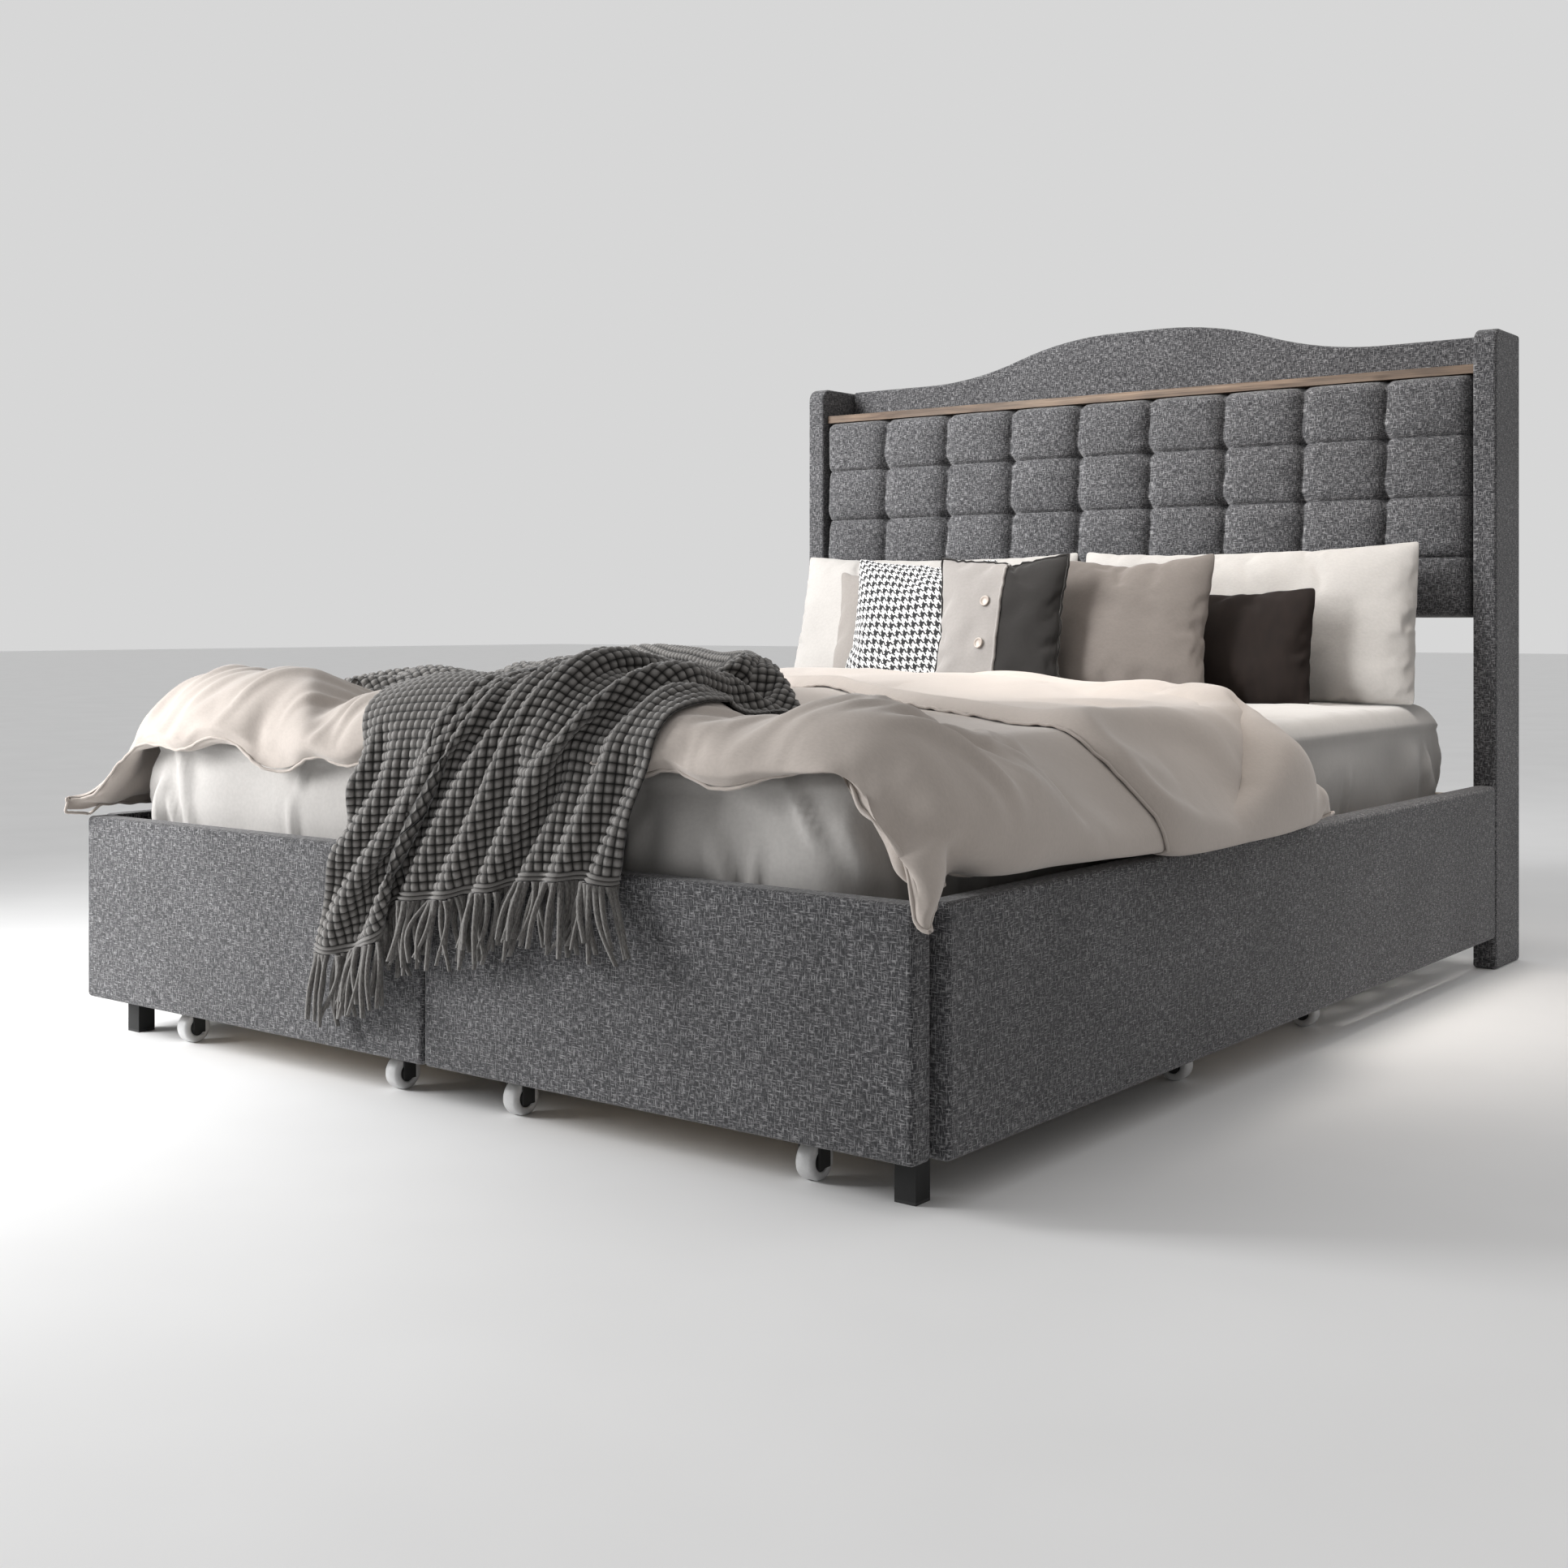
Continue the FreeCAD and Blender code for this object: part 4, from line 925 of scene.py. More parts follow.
def flap(body, below):
    """The turned-back end: it starts on the duvet's own top and is held to its edge."""
    points = np.zeros(len(body.data.vertices) * 3)
    body.data.vertices.foreach_get("co", points)
    top = points.reshape(2, DUVET_ROWS, DUVET_COLUMNS, 3)[0]
    normal = normals_of(top)
    hem_s, hem_back = zip(*FLAP_HEM)
    columns, rows = DUVET_COLUMNS, FLAP_ROWS
    j = np.arange(columns)
    end = DUVET_ROWS - 1.0
    s = np.linspace(-DUVET_HALF, DUVET_HALF, columns)
    lead = DUVET_ARC - ARC_START
    hem = (np.interp(s, hem_s, hem_back) + lead) / (fold_back(s) + lead) * end
    kernel = np.hanning(11)
    hem = np.convolve(np.pad(hem, 5, "edge"), kernel / kernel.sum(), "valid")
    share = np.linspace(0, 1, rows)[:, None]
    row = end + (hem[None, :] - end) * share
    low_row = np.clip(np.floor(row).astype(int), 0, DUVET_ROWS - 2)
    part = (row - low_row)[..., None]
    jj = np.broadcast_to(j, row.shape)
    base = top[low_row, jj] * (1 - part) + top[low_row + 1, jj] * part
    up = normal[low_row, jj] * (1 - part) + normal[low_row + 1, jj] * part
    rim = np.minimum.reduce([np.broadcast_to(share, row.shape) * 0.5,
                             np.broadcast_to(1 - share, row.shape) * 0.5,
                             (1 - np.abs(s) / DUVET_HALF)[None, :] * np.ones_like(row)])
    puff = 0.021 * np.sqrt(np.clip(1 - (1 - np.clip(rim / 0.08, 0, 1)) ** 2, 0, 1)) + 0.001
    away = smoothstep(share, 0.0, 0.12) * (0.007 - 0.005 * smoothstep(share, 0.85, 1.0))
    lower = base + up * away[..., None]
    upper = lower + up * (2 * puff)[..., None]
    x, y = base[..., 0], base[..., 1]
    upper[..., 2] += 0.003 * waves(x, y, 31, 8, 0.3, 0.6) * smoothstep(rim, 0.0, 0.1)
    piece = two_layer("duvet_flap", upper, lower)
    last = (rows - 1) * columns
    pins = {first + k + layer: 1.0 for first in (0, last) for k in range(columns)
            for layer in (0, rows * columns)}
    settle(piece, FLAP_FRAMES, below, mass=0.24, stiffness=14, bending=5.0, pressure=2.0,
           grow=0.0, gap=0.005, pinned=pins, friction=20.0)
    return piece


def soft_floor(points, level, depth):
    """Lifts points below the level, smoothly squeezed into the depth, but not at the corners."""
    clear = (points[:, 1] < FOOT_Y + 0.03) & (np.abs(points[:, 0]) > 0.845)
    low = (points[:, 2] < level + depth) & ~clear
    under = level + depth - points[low, 2]
    points[low, 2] = level + depth * np.exp(-under / depth)


def soft_side(points, limit, depth):
    """Keeps points within the limit of the middle, smoothly squeezed into the depth."""
    x = points[:, 0]
    over = np.clip(np.abs(x) - (limit - depth), 0, None)
    points[:, 0] = np.sign(x) * (np.abs(x) - over + depth * (1 - np.exp(-over / depth)))


def hem_cord(name, grid_rows, source, radius=0.0026):
    """A sewn edge: a thin, slightly puckered cord along a row of points."""
    line = np.array(grid_rows)
    count = len(line) * 6
    at = np.linspace(0, len(line) - 1, count)
    line = np.stack([np.interp(at, np.arange(len(line)), line[:, k]) for k in range(3)], axis=1)
    pucker = np.convolve(source.normal(0, 0.0022, count + 8), np.hanning(9) / 4, "valid")
    line[:, 2] += pucker
    return tube(name, line, radius)


def covered_by(covers, points, reach=0.4):
    """Which points lie under the covers, seen along SLANT."""
    tree, corners = tree_of(covers)
    slant = Vector(SLANT)
    low, high = np.min(corners, axis=0) - 0.02, np.max(corners, axis=0) + 0.02
    near = np.all((points[:, :2] > low[:2]) & (points[:, :2] < high[:2]), axis=1)
    covered = np.zeros(len(points), bool)
    for k in np.nonzero(near)[0]:
        origin = Vector(points[k]) + slant * reach
        covered[k] = tree.ray_cast(origin, -slant, reach + 0.02)[0] is not None
    return covered


# Sets of creases: how many, the ranges of x and back where they start, their aim and its spread in
# degrees, and the ranges of their lengths, widths and heights.
DUVET_CREASES = (
    (34, (-0.86, -0.10), (-0.02, 0.05), 62, 13, (0.14, 0.45), (0.008, 0.018), (0.004, 0.010)),
    (22, (0.40, 0.74), (-0.02, 0.05), 52, 13, (0.12, 0.40), (0.007, 0.015), (0.005, 0.011)),
    (9, (0.62, 0.80), (0.02, 0.10), 40, 22, (0.12, 0.30), (0.008, 0.016), (0.005, 0.010)),
    (14, (0.80, 0.90), (0.08, 1.10), 165, 16, (0.10, 0.30), (0.010, 0.020), (0.004, 0.008)),
    (14, (-0.90, -0.80), (0.10, 1.40), 12, 18, (0.10, 0.30), (0.010, 0.020), (0.004, 0.008)),
    (18, (-0.75, 0.75), (0.15, 1.35), 25, 60, (0.15, 0.50), (0.012, 0.024), (0.002, 0.004)),
)


def wrinkle(piece, covers):
    """Fine creases in the duvet: they fan in from the foot and the side, and wander on top."""
    source = np.random.default_rng(77)
    lines = []
    for count, x_range, back_range, aim, turn, lengths, widths, heights in DUVET_CREASES:
        for _ in range(count):
            x, back = source.uniform(*x_range), source.uniform(*back_range)
            angle = math.radians(source.normal(aim, turn))
            reach = source.uniform(*lengths)
            lines.append((x, back, x + reach * math.cos(angle), back + reach * math.sin(angle),
                          source.uniform(*widths), source.uniform(*heights)))
    normal = vertex_normals(piece)
    points = coordinates(piece)
    back = points[:, 1] - FOOT_Y
    hem_s, hem_back = zip(*FLAP_HEM)
    behind_hem = back - np.interp(points[:, 0] * 1.12, hem_s, hem_back)
    height = creases(points[:, 0], back, lines) * (1 - 0.8 * smoothstep(behind_hem, 0.0, 0.05))
    at_corner = smoothstep(points[:, 0], 0.62, 0.70) * (1 - smoothstep(back, 0.02, 0.12))
    height *= (1 - at_corner) * ~covered_by(covers, points)
    points += normal * (height * smoothstep(normal[:, 2], -0.1, 0.35))[:, None]
    set_coordinates(piece, points)


def bedding():
    """The duvet with its turned-back end, the throw over it, and their sewn edges."""
    obstacles = [box_obstacle(f"{drawer}_drawer_front") for drawer in DRAWERS]
    block = box_obstacle("mattress")
    bevel = block.modifiers.new("bevel", "BEVEL")
    bevel.width, bevel.segments = 0.045, 4
    bake_modifiers(block)
    obstacles.append(block)
    body = duvet(obstacles)
    top = flap(body, [body])
    rim_body = coordinates(body).reshape(2, DUVET_ROWS, DUVET_COLUMNS, 3)[0]
    rim_flap = coordinates(top).reshape(2, FLAP_ROWS, DUVET_COLUMNS, 3)[0]
    cords = [[*rim_body[::-1, 0], *rim_body[0, 1:-1], *rim_body[:, -1]],
             [*rim_flap[:, 0], *rim_flap[-1, 1:-1], *rim_flap[::-1, -1]]]
    whole = join_pieces("duvet_folded_back", [body, top])
    subdivide(whole, 1)
    paint(whole, "duvet_cotton")
    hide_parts("duvet")
    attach(whole, "bed_frame")
    covers = throw_pieces(whole, obstacles)
    subdivide(whole, 1)
    wrinkle(whole, covers)
    points = coordinates(whole)
    soft_floor(points, PANEL_TOP + 0.003, FLOOR_SQUEEZE)
    soft_side(points, SIDE_LIMIT, SIDE_SQUEEZE)
    set_coordinates(whole, points)
    source = np.random.default_rng(8)
    for k, line in enumerate(cords):
        line = np.array(line)
        soft_floor(line, PANEL_TOP + 0.005, FLOOR_SQUEEZE)
        soft_side(line, SIDE_LIMIT, SIDE_SQUEEZE)
        cord = hem_cord(f"duvet_hem_{k}", line, source)
        paint(cord, "duvet_cotton")
        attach(cord, "bed_frame")
    remove(obstacles)


# ---------------------------------------------------------------- throw

THROW_COLUMNS_AT = (0.0, 0.185, 0.25, 0.315, 0.50, 0.69, 0.81)
# Where the throw's cloth lies: for each distance from its hem, a place for each column above as
# (x, back, z); without z it lies on the duvet.
THROW_ROWS = (
    (0.00, ((-0.232, -0.022, 0.210), (-0.080, -0.022, 0.245), (-0.056, -0.034, 0.280),
            (-0.036, -0.024, 0.312), (0.130, -0.022, 0.335), (0.290, -0.022, 0.378),
            (0.372, -0.022, 0.396))),
    (0.10, ((-0.216, -0.022, 0.310), (-0.055, -0.022, 0.345), (-0.028, -0.040, 0.380),
            (-0.004, -0.028, 0.412), (0.160, -0.024, 0.433), (0.318, -0.026, 0.470),
            (0.402, -0.028, 0.488))),
    (0.20, ((-0.160, -0.026, 0.405), (-0.010, -0.030, 0.440), (0.032, -0.048, 0.472),
            (0.055, -0.038, 0.505), (0.205, -0.022, 0.530), (0.345, 0.015, 0.575),
            (0.422, 0.035, 0.590))),
    (0.30, ((-0.106, -0.034, 0.498), (0.055, -0.026, 0.530), (0.095, -0.010, 0.575),
            (0.120, 0.045), (0.245, 0.080), (0.352, 0.110), (0.422, 0.120))),
    (0.40, ((-0.100, 0.045), (0.052, 0.085), (0.084, 0.105), (0.118, 0.140), (0.250, 0.172),
            (0.356, 0.202), (0.420, 0.212))),
    (0.50, ((-0.135, 0.135), (0.045, 0.172), (0.086, 0.200), (0.125, 0.232), (0.250, 0.262),
            (0.348, 0.285), (0.405, 0.300))),
    (0.60, ((-0.195, 0.215), (0.025, 0.262), (0.108, 0.290), (0.150, 0.315), (0.262, 0.345),
            (0.330, 0.368), (0.372, 0.385))),
    (0.75, ((-0.305, 0.220), (-0.060, 0.335), (0.095, 0.385), (0.150, 0.412), (0.240, 0.440),
            (0.290, 0.462), (0.325, 0.455))),
    (0.95, ((-0.430, 0.245), (-0.250, 0.360), (-0.110, 0.440), (-0.040, 0.485), (0.050, 0.530),
            (0.120, 0.570), (0.175, 0.555))),
    (1.20, ((-0.590, 0.320), (-0.470, 0.430), (-0.350, 0.530), (-0.270, 0.590),
            (-0.180, 0.655), (-0.120, 0.700), (-0.085, 0.690))),
    (1.51, ((-0.780, 0.460), (-0.690, 0.560), (-0.590, 0.670), (-0.530, 0.735),
            (-0.440, 0.820), (-0.375, 0.870), (-0.335, 0.860))),
)
THROW_CUT, THROW_SPLIT = 0.478, 0.27
THROW_STEPS, THROW_SWEEPS = 130, 7
THROW_GAP = 0.009
NEAR_TAILS, FAR_TAILS = 112, 84


def throw_start(u, v, height_at):
    """Where the throw's points start, from the table above, and which way they face."""
    rows = []
    facing = []
    for _, places in THROW_ROWS:
        line, way = [], []
        for place in places:
            x, back = place[:2]
            if len(place) == 3:
                z = place[2]
                tilt = smoothstep(z, 0.47, 0.62)
            else:
                z = height_at(x, FOOT_Y + back) + 0.014
                tilt = 1.0
            line.append((x, FOOT_Y + back, z))
            way.append((0.0, -math.cos(tilt * math.pi / 2), math.sin(tilt * math.pi / 2)))
        rows.append(line)
        facing.append(way)
    table = np.concatenate([np.array(rows), np.array(facing)], axis=2)
    at_v = np.array([row[0] for row in THROW_ROWS])
    across = np.stack([np.stack([np.interp(u, THROW_COLUMNS_AT, table[i, :, k])
                                 for i in range(len(at_v))]) for k in range(6)], axis=2)
    grid = np.stack([np.stack([np.interp(v, at_v, across[:, j, k]) for j in range(len(u))],
                              axis=1) for k in range(6)], axis=2)
    return grid[..., :3], grid[..., 3:]


def relief_of(pieces, x_range, b_range, step):
    """Outer surface of some pieces seen along SLANT, as a height above a slanting plane."""
    tree = tree_of(pieces)[0]
    xs = np.arange(x_range[0], x_range[1], step)
    bs = np.arange(b_range[0], b_range[1], step)
    slant, along = Vector(SLANT), Vector(SLANT_UP)
    height = np.full((len(bs), len(xs)), -9.0)
    for j, b in enumerate(bs):
        for i, x in enumerate(xs):
            origin = Vector((x, 0, 0)) + along * b + slant * 4
            hit = tree.ray_cast(origin, -slant)[0]
            if hit is not None:
                height[j, i] = hit.dot(slant)
    return xs, bs, height


def relief_at(relief, points):
    xs, bs, height = relief
    step = xs[1] - xs[0]
    fx = np.clip((points[..., 0] - xs[0]) / step, 0, len(xs) - 1.001)
    fb = np.clip((points @ np.array(SLANT_UP) - bs[0]) / step, 0, len(bs) - 1.001)
    i, j = fx.astype(int), fb.astype(int)
    u, v = fx - i, fb - j
    return ((height[j, i] * (1 - u) + height[j, i + 1] * u) * (1 - v)
            + (height[j + 1, i] * (1 - u) + height[j + 1, i + 1] * u) * v)


def pull(grid, first, second, rest, strength, only_apart):
    """Moves pairs of points to a rest distance, or only pushes apart those that are too close."""
    a, b = grid[first], grid[second]
    apart = b - a
    length = np.linalg.norm(apart, axis=-1, keepdims=True)
    error = (length - rest) / np.maximum(length, 1e-9)
    if only_apart:
        error = np.minimum(error, 0)
    move = apart * error * 0.5 * strength
    grid[first] = a + move
    grid[second] = b - move


def cloth_links(rows, columns, cell):
    """Groups of point pairs that share no point: threads, diagonals and bends."""
    links = []
    every = slice(None)
    for odd in (0, 1):
        for size, axis in ((columns, 1), (rows, 0)):
            first = np.arange(odd, size - 1, 2)
            pick = (every, first) if axis else (first, every)
            other = (every, first + 1) if axis else (first + 1, every)
            links.append((pick, other, cell, 1.0, False))
        first = np.arange(odd, rows - 1, 2)
        for shift in (0, 1):
            near = slice(0, columns - 1) if shift == 0 else slice(1, columns)
            far = slice(1, columns) if shift == 0 else slice(0, columns - 1)
            links.append(((first, near), (first + 1, far), cell * math.sqrt(2), 0.25, False))
        for reach, strength in ((2, 0.5), (4, 0.35)):
            for size, axis in ((columns, 1), (rows, 0)):
                numbers = np.arange(size - reach)
                first = numbers[(numbers // reach) % 2 == odd]
                pick = (every, first) if axis else (first, every)
                other = (every, first + reach) if axis else (first + reach, every)
                links.append((pick, other, cell * reach * (0.93 if reach == 2 else 0.80),
                              strength, True))
    return links


def throw(bed_cover, obstacles):
    """The throw as a grid of cloth points, settled by relaxing its threads on the duvet."""
    cell = THROW_CELL
    columns = round(THROW_WIDTH / cell) + 1
    rows = round(THROW_LENGTH / cell) + 1
    u, v = np.arange(columns) * cell, np.arange(rows) * cell
    relief = relief_of([bed_cover, *obstacles], (-1.05, 0.75), (-0.95, 0.65), 0.012)
    tree = tree_of([bed_cover])[0]

    def height_at(x, y):
        hit = tree.ray_cast(Vector((x, y, 2.0)), Vector((0, 0, -1)))[0]
        return hit.z if hit is not None else BED_TOP

    target, facing = throw_start(u, v, height_at)
    uu, vv = np.meshgrid(u, v)
    drift = 0.022 * np.sin(vv * 5.0 + 1.0) + 0.012 * np.sin(vv * 11.0)
    spread_part = smoothstep(vv, 0.45, 0.8)
    pleat = 0.006 * np.sin(2 * math.pi * (uu + drift) / 0.16) * (1 - spread_part)
    pleat += 0.036 * np.sin(2 * math.pi * (uu + 2 * drift) / 0.19 + 1.0) * spread_part
    roll = 0.045 * np.exp(-((uu - 0.25) / 0.040) ** 2) * (1 - 0.2 * spread_part)
    edge_roll = 0.030 * np.exp(-((uu - 0.745) / 0.030) ** 2) * smoothstep(vv, 0.08, 0.35)
    edge_roll *= 1 + 1.2 * spread_part
    across = 0.016 * np.sin(2 * math.pi * (vv + 0.3 * uu) / 0.24) * smoothstep(vv, 0.60, 0.85)
    rise = pleat + roll + edge_roll + across
    heap = 0.045 * np.exp(-((uu - 0.55) / 0.20) ** 2) + 0.75 * np.maximum(rise, 0)
    heap *= spread_part * (1 - smoothstep(vv, 1.36, THROW_LENGTH))
    heap *= smoothstep(uu, 0, 0.08) * (1 - smoothstep(uu, 0.765, THROW_WIDTH))
    grid = target + facing * (0.010 + rise)[..., None]
    grid += np.random.default_rng(5).normal(0, 0.0008, grid.shape)
    links = cloth_links(rows, columns, cell)
    slant = np.array(SLANT)
    before = grid.copy()
    steps = THROW_STEPS
    for step in range(steps):
        speed = (grid - before) * 0.90
        before = grid.copy()
        grid = grid + speed
        grid[..., 2] -= 0.0006
        hold = 0.05 * (1 - 0.75 * step / steps)
        grid[..., :2] += (target[..., :2] - grid[..., :2]) * hold
        hanging = np.broadcast_to(1 - smoothstep(vv, 0.15, 0.35), vv.shape)
        grid[..., 2] += (target[..., 2] - grid[..., 2]) * hold * hanging
        for _ in range(THROW_SWEEPS):
            for first, second, rest, strength, only_apart in links:
                pull(grid, first, second, rest, strength, only_apart)
            deep = relief_at(relief, grid) + THROW_GAP + heap - grid @ slant
            touching = deep > 0
            grid += np.clip(deep, 0, 0.03)[..., None] * slant
        grid[touching] = before[touching] + (grid[touching] - before[touching]) * 0.75
    uv = np.stack([uu, vv], axis=-1)
    piece = new_piece("throw_cloth", grid, grid_faces(rows, columns), uv)
    return piece, grid, uu, height_at


WAFFLE_HEIGHT = 0.0042


def waffle(piece):
    """Raises the cells of the knit, and a corded band along both ends."""
    subdivide(piece, 2)
    uv = vertex_uv(piece)
    points = coordinates(piece)
    cell = THROW_CELL
    column = np.abs(np.sin(uv[:, 0] * math.pi / cell))
    row = np.abs(np.sin(uv[:, 1] * math.pi / cell))
    band = (uv[:, 1] < cell) | (uv[:, 1] > THROW_LENGTH - cell)
    cord = np.abs(np.sin(uv[:, 1] * 2 * math.pi / cell))
    height = WAFFLE_HEIGHT * np.where(band, cord, column * row) ** 0.42
    points += vertex_normals(piece) * height[:, None]
    set_coordinates(piece, points)
    return uv


def part_of(piece, name, keep):
    """A new piece with the faces for which keep is true, and their uv."""
    mesh = piece.data
    uv = vertex_uv(piece)
    points = coordinates(piece)
    faces = np.array([tuple(p.vertices) for p in mesh.polygons])[keep]
    used, renumbered = np.unique(faces, return_inverse=True)
    return new_piece(name, points[used], renumbered.reshape(faces.shape).tolist(), uv[used])


def fringe(name, ends, outward, length, source, floor_at=None):
    """Hanging yarn tails from points along a hem: each one is a thin, slightly kinked tube."""
    points, faces = [], []
    sides, joints = 6, 9
    together, group_lean = 0, 0.0
    for root, away in zip(ends, outward):
        if together == 0:
            together, group_lean = int(source.integers(3, 8)), source.normal(0, 0.15)
        together -= 1
        long = length * source.uniform(0.78, 1.08)
        lean = group_lean + source.normal(0, 0.11)
        push = source.uniform(0.0, 0.016)
        bow = source.normal(0, 0.010)
        phase = source.uniform(0, math.pi)
        radius = source.uniform(0.0036, 0.0052)
        start = len(points)
        for k in range(joints):
            share = k / (joints - 1)
            drop = long * share
            side = lean * drop + bow * math.sin(share * math.pi + phase * 0.3)
            proud = push * math.sin(min(1, share * 1.4) * math.pi / 2)
            centre = Vector(root) + Vector((side, -proud, -drop))
            if floor_at is not None:
                spread_out = Vector(away) * drop
                centre = Vector(root) + spread_out + Vector((0, 0, 0.004)) + Vector(
                    (bow * math.sin(share * 5 + phase), lean * drop, 0))
                centre.z = floor_at(centre.x, centre.y) + 0.005
            swell = 1.25 if k == 0 else (1.0 - 0.25 * share)
            for n in range(sides):
                turn = 2 * math.pi * n / sides
                a, b = math.cos(turn) * radius * swell, math.sin(turn) * radius * swell
                offset = Vector((a, b, 0)) if floor_at is None else Vector((a, 0, b))
                points.append(centre + offset)
        for k in range(joints - 1):
            for n in range(sides):
                m = (n + 1) % sides
                a, b = start + k * sides, start + (k + 1) * sides
                faces.append([a + n, a + m, b + m, b + n])
        faces.append([start + n for n in range(sides)][::-1])
        faces.append([start + (joints - 1) * sides + n for n in range(sides)])
    piece = new_piece(name, [tuple(p) for p in points], faces)
    paint(piece, "throw_knit", FRINGE_YARN)
    return piece


def throw_pieces(bed_cover, obstacles):
    """The throw in three parts, with its fringes: on the bed, and over each foot drawer."""
    cloth, settled, uu, height_at = throw(bed_cover, obstacles)
    uv = waffle(cloth)
    faces = np.array([tuple(p.vertices) for p in cloth.data.polygons])
    face_uv = uv[faces].mean(axis=1)
    behind = face_uv[:, 1] > THROW_CUT
    left = face_uv[:, 0] < THROW_SPLIT
    source = np.random.default_rng(44)
    parts = {}
    for name, keep in (("throw_over_duvet", behind), ("throw_left_lobe", ~behind & left),
                       ("throw_right_lobe", ~behind & ~left)):
        part = part_of(cloth, name, keep)
        thick = part.modifiers.new("thickness", "SOLIDIFY")
        thick.thickness, thick.offset = 0.0022, -1.0
        paint(part, "throw_knit")
        parts[name] = part

    def along(row, at):
        """The place on a row of the settled cloth at a distance across it."""
        return Vector([np.interp(at, uu[0], settled[row][:, i]) for i in range(3)])

    def evenly(count):
        return [(k + 0.5) / count * THROW_WIDTH for k in range(count)]

    tails = {}
    for name, low, high in (("throw_left_fringe", 0, THROW_SPLIT),
                            ("throw_right_fringe", THROW_SPLIT, THROW_WIDTH)):
        ends = [along(0, at) for at in evenly(NEAR_TAILS) if low <= at < high]
        tails[name] = fringe(name, ends, [(0, 0, 0)] * len(ends), 0.098, source)
    ends, outward = [], []
    for at in evenly(FAR_TAILS):
        ends.append(along(-1, at))
        away = ends[-1] - along(-4, at)
        away.z = 0
        outward.append(away.normalized())
    tails["throw_far_fringe"] = fringe("throw_far_fringe", ends, outward, 0.085, source,
                                       height_at)
    remove([cloth])
    for name, body in (("throw_left_lobe", "foot_left_drawer"),
                       ("throw_right_lobe", "foot_right_drawer")):
        for piece in (parts[name], tails[name.replace("lobe", "fringe")]):
            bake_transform(piece)
    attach(parts["throw_over_duvet"], "bed_frame")
    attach(tails["throw_far_fringe"], "bed_frame")
    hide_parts("throw_top")
    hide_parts("throw_drop_left")
    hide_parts("throw_drop_right")
    return list(parts.values())


# ---------------------------------------------------------------- pillows

LEAN = math.radians(12)
CUSHION_STEP = 0.011


def square_up(grid, other, share, foot):
    """Takes back a share of how far the sides of a filled case were drawn in, all of it below."""
    rows, columns = grid.shape[:2]
    t = np.linspace(0, 1, rows)[:, None]
    s = np.linspace(0, 1, columns)[None, :]
    top = grid[-1, :, 2].max() - grid[-1, :, 2]
    base = grid[0, :, 2] - grid[0, :, 2].min()
    left = grid[:, 0, 0] - grid[:, 0, 0].min()
    right = grid[:, -1, 0].max() - grid[:, -1, 0]
    for layer in (grid, other):
        layer[..., 2] += share * top[None, :] * t ** 1.6
        layer[..., 2] -= foot * base[None, :] * (1 - t) ** 1.6
        layer[..., 0] -= share * left[:, None] * (1 - s) ** 1.6
        layer[..., 0] += share * right[:, None] * s ** 1.6


